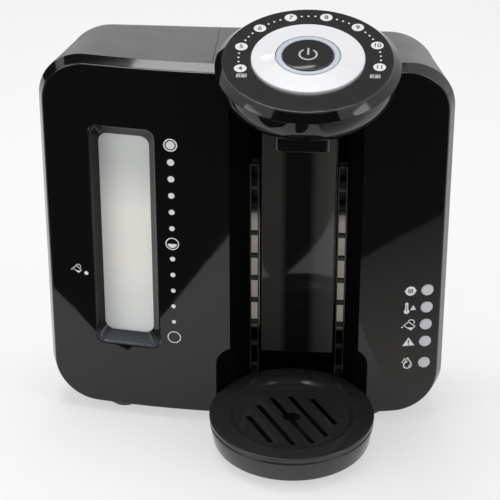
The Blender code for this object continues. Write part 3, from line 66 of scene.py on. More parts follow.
camera_data = bpy.data.cameras.new("camera")
camera_data.sensor_width = 36.0
camera_data.lens = 144.0
camera = linked("camera", camera_data)
look = Vector((-math.sin(CAMERA_YAW) * math.cos(CAMERA_PITCH),
               math.cos(CAMERA_YAW) * math.cos(CAMERA_PITCH), -math.sin(CAMERA_PITCH)))
camera.location = CAMERA_TARGET - look * CAMERA_DISTANCE
camera.rotation_euler = (math.pi / 2 - CAMERA_PITCH, 0.0, CAMERA_YAW)
scene.camera = camera


def feed(node, *inputs, **named):
    """Sets a node's inputs, by place or name, from values, outputs or nodes, and its settings.

    Names in lower case are settings. A node stands for its first output.
    """
    for name in [n for n in named if n[0].islower()]:
        setattr(node, name, named.pop(name))
    pairs = list(enumerate(inputs)) + [(n.replace("_", " "), v) for n, v in named.items()]
    for key, value in pairs:
        if isinstance(value, bpy.types.Node):
            value = next(out for out in value.outputs if out.enabled)
        if isinstance(value, bpy.types.NodeSocket):
            node.id_data.links.new(value, node.inputs[key])
        else:
            node.inputs[key].default_value = value
    return node


def add(tree, kind, *inputs, **named):
    """A new node, shader nodes by their short name, set by feed."""
    return feed(tree.nodes.new(kind if "Node" in kind else "ShaderNode" + kind), *inputs, **named)


def blank(name):
    """A new material, with its tree, its shader and the object coordinates."""
    material = bpy.data.materials.new(name)
    material.use_nodes = True
    tree = material.node_tree
    return material, tree, tree.nodes["Principled BSDF"], add(tree, "TexCoord").outputs["Object"]


def seen_by_eye_or_gloss(tree):
    """1 for camera, glossy and transmission rays, else 0."""
    path = add(tree, "LightPath").outputs
    near = add(tree, "Math", path["Is Camera Ray"], path["Is Glossy Ray"], operation="MAXIMUM")
    return add(tree, "Math", near, path["Is Transmission Ray"], operation="MAXIMUM")


ROOM_LIGHT = 0.42
FLOOR_SIZE = 3.0
FLOOR_GLOW = 0.55
CARD_HEIGHT = 0.0015
FAR_EDGE = -2.5

scene.world = bpy.data.worlds.new("studio")
scene.world.use_nodes = True
sky = scene.world.node_tree
room = add(sky, "MapRange", Value=seen_by_eye_or_gloss(sky), To_Min=ROOM_LIGHT, To_Max=1.0)
feed(sky.nodes["Background"], Color=(1.0, 1.0, 1.0, 1.0), Strength=room)


def table_top():
    """Matt pale table; part of its white is its own, so that it never greys far away."""
    material, tree, shader, _ = blank("table_top")
    feed(shader, Base_Color=(0.90, 0.90, 0.895, 1.0), Roughness=0.9, Specular_IOR_Level=0.0)
    glow = add(tree, "Emission", Color=(0.985, 0.985, 0.98, 1.0))
    share = add(tree, "Math", seen_by_eye_or_gloss(tree), FLOOR_GLOW, operation="MULTIPLY")
    feed(tree.nodes["Material Output"], Surface=add(tree, "MixShader", share, shader, glow))
    return material


def light_only(name, colour):
    """A material of plain light; gives it with its light and the object coordinates."""
    material, tree, shader, place = blank(name)
    tree.nodes.remove(shader)
    light = add(tree, "Emission", Color=colour)
    feed(tree.nodes["Material Output"], Surface=light)
    return material, light, place


def flat(name, corners, material):
    """A flat sheet of the studio."""
    mesh = bpy.data.meshes.new(name)
    mesh.from_pydata(corners, [], [tuple(range(len(corners)))])
    mesh.materials.append(material)
    item = linked(name, mesh)
    return item


def studio_card(name, corners, material):
    """A flat card that shows only in glossy reflections."""
    card = flat(name, corners, material)
    for ray in ("camera", "diffuse", "shadow", "transmission"):
        setattr(card, "visible_" + ray, False)


def soft_box(name, place, aim, width, height, power):
    """A rectangular area lamp turned towards a point."""
    data = bpy.data.lights.new(name, "AREA")
    data.shape = "RECTANGLE"
    data.size, data.size_y, data.energy = width, height, power
    lamp = linked(name, data)
    lamp.location = place
    lamp.rotation_euler = (Vector(aim) - Vector(place)).to_track_quat("-Z", "Y").to_euler()


flat("floor", [(x * FLOOR_SIZE, y * FLOOR_SIZE, 0.0)
               for x, y in ((-1, -1), (1, -1), (1, 1), (-1, 1))],
     table_top())

# the table's far edge, as it shows in the front: a zigzag, in metres from the origin
EDGE = ((-2.0, -0.750), (-0.264, -0.132), (-0.211, -0.114), (-0.164, -0.090), (-0.126, -0.081),
        (-0.111, -0.136), (-0.092, -0.196), (-0.073, -0.244), (-0.045, -0.298), (-0.028, -0.330),
        (-0.010, -0.180), (-0.001, -0.147), (0.003, -0.133), (0.009, -0.125), (0.016, -0.124),
        (0.024, -0.138), (0.040, -0.173), (0.048, -0.196), (0.057, -0.236), (0.080, -0.300),
        (0.128, -0.250), (0.149, -0.241), (0.189, -0.255), (0.226, -0.266), (0.321, -0.279),
        (2.0, -0.75))
card_black, _, _ = light_only("card_black", (0.010, 0.0095, 0.009, 1.0))
card_grey, grey_light, grey_place = light_only("card_grey", (1.0, 0.97, 0.93, 1.0))
grey_tree = card_grey.node_tree
grey_depth = add(grey_tree, "SeparateXYZ", grey_place).outputs["Y"]
feed(grey_light, Strength=add(grey_tree, "MapRange", Value=grey_depth, From_Min=-0.30,
                              From_Max=-0.03, To_Min=0.22, To_Max=0.80))
for name, corners, material in (
        ("card_front", [(x, y, CARD_HEIGHT) for x, y in EDGE + ((2.0, FAR_EDGE), (-2.0, FAR_EDGE))],
         card_black),
        ("card_wall", [(x, FAR_EDGE, z)
                       for x, z in ((-2.0, 0.0), (2.0, 0.0), (2.0, 4.0), (-2.0, 4.0))],
         card_black),
        ("card_left", [(-2.2, -1.0, 0.0), (-1.1, 2.2, 0.0), (-1.1, 2.2, 0.9), (-2.2, -1.0, 0.9)],
         card_black),
        ("card_right", [(x, y, 0.0010) for x, y in ((0.128, -0.32), (0.60, -0.45), (0.60, -0.03),
                                                    (0.128, -0.03))], card_grey),
        ("card_overhead", [(x, y, 1.5) for x, y in ((-1.6, 0.55), (0.35, 0.55), (0.35, 1.9),
                                                    (-1.6, 1.9))], card_black)):
    studio_card(name, corners, material)

soft_box("overhead_box", (-0.12, 0.20, 1.55), (0.0, 0.02, 0.1), 0.9, 0.8, 14.5)
soft_box("left_fill", (-1.5, -0.9, 0.9), (0.0, 0.0, 0.15), 0.7, 1.0, 6.0)
soft_box("right_fill", (1.5, -0.7, 0.9), (0.0, 0.0, 0.15), 0.5, 1.0, 5.0)


# Front panels
# Two bowed mouldings in high-gloss black, one on each side of the bottle bay, which parts them.
# Each is a shell that clips over the rim of the rear casing; the left one has the tank window.

CASE_WIDTH = 0.300
CASE_HEIGHT = 0.2905
CASE_DEPTH = 0.092
CASE_CORNER = 0.036
CASE_UNDERSIDE = 0.0055
CASE_MIDDLE = CASE_UNDERSIDE + CASE_HEIGHT / 2
BACK_Y = 0.08755
FACE_Y = BACK_Y - CASE_DEPTH
BOW_RADIUS = 0.616
RIM_DEPTH = 0.0098
RIM_FLARE = 0.0032
EDGE_ROUND = 0.0016
PANEL_WALL = 0.0028
GAP = 0.0003
SLIP = 0.0005
OVERRUN = 0.004
REACH = 0.6
CORNER_STEPS = 14
FACE_STRIPS = 48
ROUND_STEPS = 128

BAY_X = 0.038
BAY_MOUTH = 0.0964
TRAY_Y = FACE_Y - 0.0234
POCKET_RADIUS = 0.0635
POCKET_TOP = 0.068
POCKET_ROUND = 0.016

WINDOW_X = -0.0879
WINDOW_WIDTH = 0.0500
WINDOW_LOW = 0.0622
WINDOW_HIGH = 0.2467
WINDOW_CORNER = 0.0070

LAMP_X = 0.1364
LAMP_RADIUS = 0.00465
LAMP_HEIGHTS = (0.1151, 0.1002, 0.0853, 0.0704, 0.0515)

HEAD_X = 0.0454
HEAD_CENTRE_HEIGHT = 0.3056
HEAD_TILT = math.radians(12.9)
HEAD_PLACE = Matrix.Translation((HEAD_X, FACE_Y, HEAD_CENTRE_HEIGHT)) \
    @ Matrix.Rotation(HEAD_TILT, 4, "X")
HEAD_RIM = -0.0065
BOWL_RADIUS = 0.0646
BOWL_DEPTH = 0.0360
BOWL_POWER = 2.4


def bow(x):
    """How far the bowed front lies behind its foremost line, at a place x."""
    return BOW_RADIUS - math.sqrt(BOW_RADIUS ** 2 - x ** 2)


def shape(name, build):
    """An object in the scene whose bmesh is filled by the function build."""
    mesh = bpy.data.meshes.new(name)
    work = bmesh.new()
    build(work)
    bmesh.ops.recalc_face_normals(work, faces=work.faces)
    work.to_mesh(mesh)
    work.free()
    return linked(name, mesh)


def placed(item, place):
    """Puts a place into the mesh, so that the object itself stays at the origin."""
    item.data.transform(place)
    return item


def eased(points, radius, steps=5):
    """A closed outline with its corners rounded; corners on the turning axis stay."""
    soft = []
    count = len(points)
    for i in range(count):
        here = Vector(points[i])
        back = Vector(points[i - 1]) - here
        ahead = Vector(points[(i + 1) % count]) - here
        half = back.angle(ahead, 0.0) / 2
        if here.x == 0 or half > math.radians(84) or half < math.radians(3):
            soft.append(tuple(here))
            continue
        reach = min(radius / math.tan(half), back.length * 0.45, ahead.length * 0.45)
        size = reach * math.tan(half)
        centre = here + (back.normalized() + ahead.normalized()).normalized() \
            * size / math.sin(half)
        first = here + back.normalized() * reach - centre
        last = here + ahead.normalized() * reach - centre
        swing = first.angle_signed(last)
        for step in range(steps + 1):
            soft.append(tuple(centre + Matrix.Rotation(-swing * step / steps, 2) @ first))
    return soft


def quarter(steps):
    """Sine and cosine at even steps of a quarter turn."""
    angles = [math.pi / 2 * step / steps for step in range(steps + 1)]
    return [(math.sin(angle), math.cos(angle)) for angle in angles]


def turned(name, profile, place=None, steps=ROUND_STEPS):
    """A profile of (radius, height) points, turned about Z and put in place."""
    on_axis = profile[0][0] == 0 and profile[-1][0] == 0

    def build(work):
        points = [work.verts.new((r, 0.0, h)) for r, h in profile]
        last = len(points) - 1 if on_axis else len(points)
        edges = [work.edges.new((points[i], points[(i + 1) % len(points)]))
                 for i in range(last)]
        bmesh.ops.spin(work, geom=points + edges, cent=(0, 0, 0), axis=(0, 0, 1),
                       angle=math.tau, steps=steps, use_merge=True)
        bmesh.ops.remove_doubles(work, verts=work.verts, dist=1e-6)

    item = shape(name, build)
    return placed(item, place) if place is not None else item


def rod(name, start, end, radius, steps=32):
    """A round bar between two points."""
    start, end = Vector(start), Vector(end)
    along = end - start
    place = (Matrix.Translation((start + end) / 2)
             @ along.to_track_quat("Z", "Y").to_matrix().to_4x4())
    return shape(name, lambda work: bmesh.ops.create_cone(
        work, cap_ends=True, segments=steps, radius1=radius, radius2=radius,
        depth=along.length, matrix=place))


def block(name, low, high):
    """A box between two corners."""
    size = [high[i] - low[i] for i in range(3)]
    middle = [(high[i] + low[i]) / 2 for i in range(3)]
    place = Matrix.Translation(middle) @ Matrix.Diagonal((*size, 1.0))
    return shape(name, lambda work: bmesh.ops.create_cube(work, size=1.0, matrix=place))


def prism(name, outline, low, high, axis="Z"):
    """A flat outline drawn out along Z, or along Y for outlines of (x, z)."""

    def build(work):
        if axis == "Z":
            ring = [work.verts.new((a, b, low)) for a, b in outline]
            shift = (0, 0, high - low)
        else:
            ring = [work.verts.new((a, low, b)) for a, b in outline]
            shift = (0, high - low, 0)
        face = work.faces.new(ring)
        drawn = bmesh.ops.extrude_face_region(work, geom=[face])
        moved = [g for g in drawn["geom"] if isinstance(g, bmesh.types.BMVert)]
        bmesh.ops.translate(work, vec=shift, verts=moved)

    return shape(name, build)


def bowed_body(name, sections):
    """A solid through upright rounded rectangles, each bowed by its share.

    A section is (y, bow share, half width, half height, corner, middle height).
    """

    def columns(half_width, half_height, corner):
        spots = [(-half_width + corner * (1 - across), half_height - corner * (1 - up))
                 for up, across in quarter(CORNER_STEPS)]
        straight = half_width - corner
        inner = [(-straight + 2 * straight * step / FACE_STRIPS, half_height)
                 for step in range(1, FACE_STRIPS)]
        return spots + inner + [(-x, h) for x, h in reversed(spots)]

    def build(work):
        loops = []
        for y, share, half_width, half_height, corner, middle in sections:
            spots = columns(half_width, half_height, corner)
            top = [work.verts.new((x, y + share * bow(x), middle + h)) for x, h in spots]
            low = [work.verts.new((x, y + share * bow(x), middle - h)) for x, h in spots]
            loops.append((top, low))
        for top, low in (loops[0], loops[-1]):
            for i in range(len(top) - 1):
                work.faces.new((top[i], top[i + 1], low[i + 1], low[i]))
        for near, far in zip(loops, loops[1:]):
            near_ring = near[0] + near[1][::-1]
            far_ring = far[0] + far[1][::-1]
            for i in range(len(near_ring)):
                j = (i + 1) % len(near_ring)
                work.faces.new((near_ring[i], near_ring[j], far_ring[j], far_ring[i]))

    return shape(name, build)


def evaluated(item):
    """The mesh of an object with its modifiers, or of a curve."""
    bpy.context.view_layer.update()
    return bpy.data.meshes.new_from_object(
        item.evaluated_get(bpy.context.evaluated_depsgraph_get()))


def baked(item):
    """Applies an object's modifiers: its mesh becomes the evaluated one."""
    mesh = evaluated(item)
    item.modifiers.clear()
    item.data = mesh
    return item


def combined(item, others, operation="DIFFERENCE"):
    """A Boolean with each of the other solids."""
    for other in others:
        change = item.modifiers.new("boolean", "BOOLEAN")
        change.operation = operation
        change.solver = "EXACT"
        change.object = other
    return baked(item)


def dropped(*items):
    """Removes tool solids that have done their work."""
    for item in items:
        bpy.data.objects.remove(item)


def fitted(item, name, material, body, replaced=(), angle=32.0):
    """Names a finished piece, gives it its finish and fixes it to a body of the machine."""
    item.name = name
    item.data.name = name
    item.data.materials.clear()
    item.data.materials.append(material)
    item.data.shade_smooth()
    item.data.set_sharp_from_angle(angle=math.radians(angle))
    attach(item, body)
    if replaced:
        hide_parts(*replaced)
    return item


def true_normals(item, least=0.00002):
    """Gives the bowed front its exact normals, and every large flat face its own."""
    mesh = item.data
    normals = [Vector(corner.vector) for corner in mesh.corner_normals]
    centre = FACE_Y + BOW_RADIUS
    for face in mesh.polygons:
        for index in face.loop_indices:
            spot = mesh.vertices[mesh.loops[index].vertex_index].co
            out = Vector((spot.x, spot.y - centre, 0.0))
            if abs(BOW_RADIUS - out.length) < 0.0001 and out.normalized().dot(face.normal) > 0.9995:
                normals[index] = out.normalized()
            elif face.area > least and abs(BOW_RADIUS - out.length) >= 0.0001:
                normals[index] = face.normal.copy()
    mesh.normals_split_custom_set(normals)


def softened(item, width, steps, angle=30.0):
    """Rounds the edges of an item that are sharper than an angle."""
    soft = item.modifiers.new("soft", "BEVEL")
    soft.width = width
    soft.segments = steps
    soft.angle_limit = math.radians(angle)
    return baked(item)


def mould_finish_group():
    """Shared look of moulded plastic: fine grain, slow ripple, and patches of haze."""
    group = bpy.data.node_groups.new("mould_finish", "ShaderNodeTree")
    for name in ("Grain Scale", "Grain Depth", "Ripple Depth", "Roughness Low", "Roughness High"):
        group.interface.new_socket(name, in_out="INPUT", socket_type="NodeSocketFloat")
    for name, kind in (("Roughness", "Float"), ("Normal", "Vector"), ("Dust", "Float")):
        group.interface.new_socket(name, in_out="OUTPUT", socket_type="NodeSocket" + kind)
    ask = add(group, "NodeGroupInput").outputs
    place = add(group, "TexCoord").outputs["Object"]
    grain = add(group, "TexNoise", Vector=place, Scale=ask["Grain Scale"], Detail=3.0)
    ripple = add(group, "TexNoise", Vector=place, Scale=22.0, Detail=1.0)
    slow = add(group, "Bump", Strength=ask["Ripple Depth"], Distance=0.0004, Height=ripple)
    fine = add(group, "Bump", Strength=ask["Grain Depth"], Distance=0.00004, Height=grain,
               Normal=slow)
    haze = add(group, "TexNoise", Vector=place, Scale=38.0, Detail=6.0, Roughness=0.62)
    spread = add(group, "MapRange", Value=haze, From_Min=0.35, From_Max=0.70,
                 To_Min=ask["Roughness Low"], To_Max=ask["Roughness High"])
    motes = add(group, "TexVoronoi", Vector=place, Scale=260.0).outputs["Distance"]
    speck = add(group, "MapRange", Value=motes, From_Min=0.10, From_Max=0.02)
    add(group, "NodeGroupOutput", Roughness=spread, Normal=fine, Dust=speck)
    return group


MOULD_FINISH = mould_finish_group()


def moulded(name, colour, dusty, rough, grain=(2500.0, 0.1), ripple=0.1):
    """A moulded plastic: its colour, the colour of dust on it, and its two roughnesses."""
    material, tree, shader, _ = blank(name)
    finish = add(tree, "Group", node_tree=MOULD_FINISH, Grain_Scale=grain[0], Grain_Depth=grain[1],
                 Ripple_Depth=ripple, Roughness_Low=rough[0], Roughness_High=rough[1]).outputs
    tone = add(tree, "Mix", data_type="RGBA", Factor=finish["Dust"], A=(*colour, 1.0),
               B=(*dusty, 1.0))
    feed(shader, Base_Color=tone, Roughness=finish["Roughness"], Normal=finish["Normal"])
    return material


def toned(material, way, low, high, stops, glow=0.0):
    """Colours a material along a direction, by stops of (share, colour), with a glow if asked."""
    tree = material.node_tree
    far = add(tree, "VectorMath", add(tree, "TexCoord").outputs["Object"], way,
              operation="DOT_PRODUCT")
    ramp = add(tree, "ValToRGB", add(tree, "MapRange", Value=far, From_Min=low, From_Max=high))
    while len(ramp.color_ramp.elements) < len(stops):
        ramp.color_ramp.elements.new(0.5)
    for stop, (spot, colour) in zip(ramp.color_ramp.elements, stops):
        stop.position = spot
        stop.color = (*colour, 1.0)
    feed(tree.nodes["Principled BSDF"], Base_Color=ramp)
    if glow:
        feed(tree.nodes["Principled BSDF"], Emission_Color=ramp, Emission_Strength=glow)
    return ramp


gloss_black = moulded("gloss_black", (0.0062, 0.0058, 0.0058), (0.020, 0.019, 0.018),
                      (0.035, 0.065), grain=(900.0, 0.012), ripple=0.055)


def front_sections(depths):
    """Panel sections: y behind the face, inset from the front outline."""
    half_width = CASE_WIDTH / 2 - RIM_FLARE
    half_height = CASE_HEIGHT / 2 - RIM_FLARE
    corner = CASE_CORNER - RIM_FLARE
    return [(FACE_Y + depth, 1.0, half_width - inset, half_height - inset, corner - inset,
             CASE_MIDDLE) for depth, inset in depths]


def bowl_curve(extra=0.0, steps=26):
    """Outer line of the bowl under the head, from its rim down to its foot."""
    rim = HEAD_RIM - GAP
    points = [((BOWL_RADIUS + extra) * across ** (2 / BOWL_POWER),
               rim - (BOWL_DEPTH + extra) * down ** (2 / BOWL_POWER))
              for down, across in quarter(steps)]
    points[-1] = (0.0, rim - BOWL_DEPTH - extra)
    return points


def bowl_space(extra):
    """The bowl's outside, larger by a gap, and open to the sky."""
    curve = bowl_curve(extra)
    profile = [(0.0, 0.06), (curve[0][0], 0.06)] + curve
    return turned("bowl_space", profile, HEAD_PLACE)


def pocket(extra=0.0):
    """The round pocket that the tray stands in."""
    radius = POCKET_RADIUS + extra
    top = POCKET_TOP + extra
    profile = [(0.0, -OVERRUN), (radius, -OVERRUN)]
    profile += [(radius - POCKET_ROUND * (1 - across), top - POCKET_ROUND * (1 - up))
                for up, across in quarter(CORNER_STEPS)]
    profile.append((0.0, top))
    return turned("pocket", profile, Matrix.Translation((BAY_X, TRAY_Y, 0.0)))


def lamp_point(height, depth):
    """A point behind the face, square to the bowed panel at the lamps."""
    turn = math.asin(LAMP_X / BOW_RADIUS)
    return (LAMP_X - math.sin(turn) * depth, FACE_Y + bow(LAMP_X) + math.cos(turn) * depth, height)


panel_depths = [(EDGE_ROUND * (1 - across), EDGE_ROUND * (1 - up)) for up, across in quarter(6)]
panel_depths.append((RIM_DEPTH, -RIM_FLARE))
panel_hollow = bowed_body("panel_hollow", front_sections(
    [(PANEL_WALL, PANEL_WALL), (RIM_DEPTH, PANEL_WALL - RIM_FLARE),
     (RIM_DEPTH + OVERRUN, PANEL_WALL - RIM_FLARE)]))
panel_pocket = pocket()
head_room = bowl_space(SLIP)


def window_outline(inset, sill=0.0, lintel=0.0):
    """Outline of the window, inset all round and by more at the sill and the lintel."""
    left = WINDOW_X - WINDOW_WIDTH / 2 + inset
    right = WINDOW_X + WINDOW_WIDTH / 2 - inset
    corners = [(left, WINDOW_LOW + inset + sill), (right, WINDOW_LOW + inset + sill),
               (right, WINDOW_HIGH - inset - lintel), (left, WINDOW_HIGH - inset - lintel)]
    return eased(corners, WINDOW_CORNER, 10)


left_limit = block("left_limit", (BAY_X - BAY_MOUTH / 2, -REACH, -REACH), (REACH, REACH, REACH))
window_hole = prism("window_hole", window_outline(0.0), FACE_Y - OVERRUN, FACE_Y + 0.1, "Y")
left_panel = combined(bowed_body("left_panel", front_sections(panel_depths)),
                      [panel_hollow, panel_pocket, head_room, left_limit, window_hole])
fitted(left_panel, "front_panel_left_gloss", gloss_black, "machine",
       ["front_panel_left"])
true_normals(left_panel)

right_limit = block("right_limit", (-REACH, -REACH, -REACH), (BAY_X + BAY_MOUTH / 2, REACH, REACH))
lamp_holes = [rod("lamp_hole", lamp_point(height, -OVERRUN),
                  lamp_point(height, PANEL_WALL + OVERRUN),
                  LAMP_RADIUS + GAP, steps=48) for height in LAMP_HEIGHTS]
right_panel = combined(bowed_body("right_panel", front_sections(panel_depths)),
                       [panel_hollow, panel_pocket, head_room, right_limit] + lamp_holes)
fitted(right_panel, "front_panel_right_gloss", gloss_black, "machine",
       ["front_panel_right"])
true_normals(right_panel)
dropped(left_limit, window_hole, right_limit, *lamp_holes)


# Window bezel
# A gloss black funnel-shaped frame, pressed into the left panel's opening from behind.
# Its walls slope in to the clear part of the tank, most of all at the sill.

BEZEL_LINTEL = 0.0050
BEZEL_SIDE_SLOPE = 0.0054
BEZEL_SILL_SLOPE = 0.0070
BEZEL_WALL = 0.0016
BEZEL_LIP = 0.0005


def window_ring(outline, behind):
    """A window outline laid on the bowed front, some way behind it."""
    return [(x, FACE_Y + behind + bow(x), z) for x, z in outline]


def open_frame(name, rings):
    """A frame through rings that closes on itself, such as a picture frame's section."""

    def build(work):
        loops = [[work.verts.new(p) for p in ring] for ring in rings]
        count = len(loops[0])
        for k in range(len(loops)):
            near, far = loops[k], loops[(k + 1) % len(loops)]
            for i in range(count):
                j = (i + 1) % count
                work.faces.new((near[i], near[j], far[j], far[i]))

    return shape(name, build)


bezel_sill = BEZEL_SILL_SLOPE - BEZEL_SIDE_SLOPE
bezel_rings = [window_ring(window_outline(GAP), RIM_DEPTH),
               window_ring(window_outline(GAP), BEZEL_LIP * 1.2),
               window_ring(window_outline(GAP + BEZEL_LIP * 0.4), BEZEL_LIP * 0.4),
               window_ring(window_outline(GAP + BEZEL_LIP * 1.2), 0.0),
               window_ring(window_outline(GAP + BEZEL_LIP * 2.0), BEZEL_LIP * 0.5)]
for step in range(1, 9):
    share = step / 8
    bezel_rings.append(window_ring(
        window_outline(BEZEL_WALL / 2 + BEZEL_SIDE_SLOPE * share, bezel_sill * share,
                       BEZEL_LINTEL * share),
        BEZEL_LIP + (RIM_DEPTH - BEZEL_LIP) * share))
bezel = open_frame("bezel", bezel_rings)
BEZEL_TONE = (0.010, 0.010, 0.0105)
bezel_gloss_painted_sill = moulded("bezel_gloss_painted_sill", BEZEL_TONE, (0.03, 0.03, 0.03), (0.03, 0.06),
                      grain=(900.0, 0.02), ripple=0.05)
# painted reflection: the bezel turns lighter and bluer towards the sill, standing in for the lit
# tank mirrored there
toned(bezel_gloss_painted_sill, (0, 0, 1), WINDOW_LOW + 0.0105, WINDOW_LOW + 0.0040,
      ((0.0, BEZEL_TONE), (1.0, (0.060, 0.064, 0.078))))
feed(bezel_gloss_painted_sill.node_tree.nodes["Principled BSDF"], Specular_IOR_Level=0.22)
fitted(bezel, "window_bezel_gloss", bezel_gloss_painted_sill, "machine", ["window_bezel"], 50.0)


# Rear casing and tank lid
# One satin shell closes the back, sides, top and underside, moulded with a fine spark grain.
# The top left part is the tank's lid, parted by a straight seam beside the head.

BACK_NARROWING = 0.012
BACK_TOP_DROP = 0.002
BACK_ROUND = 0.014
CASE_WALL = 0.0025
LID_SEAM = 0.2640
LID_RIGHT = -0.0225
LID_WALL = 0.0022
CASE_FLOOR = CASE_UNDERSIDE + CASE_WALL

casing_satin = moulded("casing_satin", (0.082, 0.080, 0.081), (0.135, 0.132, 0.130),
                       (0.34, 0.44), grain=(3800.0, 0.35), ripple=0.02)


def case_sections(inset, start):
    """Casing sections from the front rim to the rounded back, inset by a wall."""
    half_width = CASE_WIDTH / 2 - inset
    half_height = CASE_HEIGHT / 2 - inset
    corner = CASE_CORNER - inset
    back_width = half_width - BACK_NARROWING
    back_height = half_height - BACK_TOP_DROP / 2
    back_middle = CASE_MIDDLE - BACK_TOP_DROP / 2
    sections = [(start, 1.0, half_width, half_height, corner, CASE_MIDDLE)]
    for back, across in quarter(CORNER_STEPS - 1):
        shrink = (BACK_ROUND - inset) * (1 - across)
        y = BACK_Y - BACK_ROUND + (BACK_ROUND - inset) * back
        sections.append((y, 0.0, back_width - shrink, back_height - shrink,
                         corner - shrink, back_middle))
    return sections


def base_outline(inset):
    """Plan of the base plate and, inset, of the casing's service opening."""
    left, right = -0.1080 + inset, 0.1080 - inset
    front, back = FACE_Y + 0.0160 + inset, BACK_Y - 0.0200 - inset
    return eased([(left, front), (right, front), (right, back), (left, back)], 0.0100, 8)


GLAND_X = 0.1000
GLAND_HEIGHT = 0.0300
GLAND_RADIUS = 0.0065
casing = bowed_body("casing", case_sections(0.0, FACE_Y + RIM_DEPTH + GAP))
casing_hollow = bowed_body("casing_hollow", case_sections(CASE_WALL, FACE_Y - OVERRUN))
lid_room = block("lid_room", (-REACH, -REACH, LID_SEAM - GAP), (LID_RIGHT + GAP, REACH, REACH))
service = prism("service", base_outline(0.0100), -OVERRUN, CASE_FLOOR + OVERRUN)
pocket_floor = rod("pocket_floor", (BAY_X, TRAY_Y, -OVERRUN), (BAY_X, TRAY_Y, POCKET_TOP / 2),
                   POCKET_RADIUS, steps=ROUND_STEPS)
gland_hole = rod("gland_hole", (GLAND_X, BACK_Y - BACK_ROUND, GLAND_HEIGHT),
                 (GLAND_X, BACK_Y + OVERRUN, GLAND_HEIGHT), GLAND_RADIUS + GAP)
casing_tools = [casing_hollow, lid_room, service, pocket_floor, gland_hole]
combined(casing, casing_tools + [head_room])
fitted(casing, "rear_casing_satin", casing_satin, "machine", ["rear_casing"])

lid = bowed_body("lid", case_sections(0.0, FACE_Y + RIM_DEPTH + GAP))
lid_part = block("lid_part", (-REACH, -REACH, LID_SEAM), (LID_RIGHT, REACH, REACH))
lid_hollow = bowed_body("lid_hollow",
                        case_sections(LID_WALL, FACE_Y + RIM_DEPTH + GAP + LID_WALL))
lid_hollow_part = block("lid_hollow_part", (-REACH, -REACH, LID_SEAM - OVERRUN),
                        (LID_RIGHT - LID_WALL, REACH, REACH))
combined(lid_hollow, [lid_hollow_part], "INTERSECT")
combined(lid, [lid_part], "INTERSECT")
combined(lid, [lid_hollow])
fitted(lid, "tank_lid_satin", casing_satin, "lid", ["tank_lid"])
dropped(lid_part, lid_hollow, lid_hollow_part, service, gland_hole, lid_room, casing_hollow)


# Bottle bay
# A gloss liner stands between the panels, with the round pocket for the tray at its foot.
# A glossy strip covers its back, and a ladder rack stands in a channel on each side.

BAY_DEPTH = 0.054
BAY_SHOULDER_DEPTH = 0.036
BAY_SHOULDER = 0.0870
BAY_REAR_START = 0.0505
BAY_TOP = 0.276
BAY_WALL = 0.0020
RACK_WIDTH = 0.0068
RACK_THICK = 0.0030
RACK_OFFSET = 0.0331
RACK_CHANNEL = 0.0105
BACK_PANEL_WIDTH = 0.0560
BACK_PANEL_THICK = 0.0022
BACK_PANEL_LOW = 0.034
BACK_PANEL_HIGH = 0.2486


def bay_plan(extra=0.0):
    """Plan of the bay with the rack channels in its back corners, grown by a wall."""
    side = RACK_WIDTH / 2 + GAP
    half = [(BAY_MOUTH / 2 + extra, -OVERRUN), (BAY_MOUTH / 2 + extra, PANEL_WALL),
            (BAY_SHOULDER / 2 + extra, BAY_SHOULDER_DEPTH),
            (RACK_OFFSET + side + extra, BAY_REAR_START + extra / 2),
            (RACK_OFFSET + side + extra, BAY_REAR_START + RACK_CHANNEL + extra),
            (RACK_OFFSET - side - extra, BAY_REAR_START + RACK_CHANNEL + extra),
            (RACK_OFFSET - side - extra, BAY_DEPTH + extra)]
    right = [(BAY_X + h, FACE_Y + d) for h, d in half]
    left = [(BAY_X - h, FACE_Y + d) for h, d in reversed(half)]
    return eased(right + left, 0.0022, 6)


def interior(extra=0.0):
    """The room behind the panels and inside the casing."""
    wall = PANEL_WALL + GAP + extra
    first = front_sections([(wall, wall)])
    return bowed_body("interior", first + case_sections(wall, FACE_Y + RIM_DEPTH))


liner_floor = CASE_FLOOR + GAP
liner = prism("liner", bay_plan(BAY_WALL), liner_floor, BAY_TOP)
pocket_outside = pocket(BAY_WALL)
combined(liner, [pocket_outside], "UNION")
inside_room = interior()
above_floor = block("above_floor", (-REACH, -REACH, liner_floor), (REACH, REACH, BAY_TOP))
combined(liner, [inside_room, above_floor], "INTERSECT")
bay_space = prism("bay_space", bay_plan(), -OVERRUN, BAY_TOP + OVERRUN)
combined(liner, [bay_space, panel_pocket, head_room])
bay_black = moulded("bay_black", (0.0045, 0.0043, 0.0043), (0.010, 0.010, 0.010), (0.06, 0.12),
                    grain=(900.0, 0.02), ripple=0.03)
feed(bay_black.node_tree.nodes["Principled BSDF"], Specular_IOR_Level=0.0)
fitted(liner, "bay_liner_gloss", bay_black, "machine", ["bay_liner"])
dropped(pocket_outside, above_floor, bay_space, inside_room)

back_gloss_painted_reflection = moulded("back_gloss_painted_reflection", (0.006, 0.006, 0.006), (0.02, 0.02, 0.02), (0.04, 0.07),
                     grain=(900.0, 0.012), ripple=0.03)
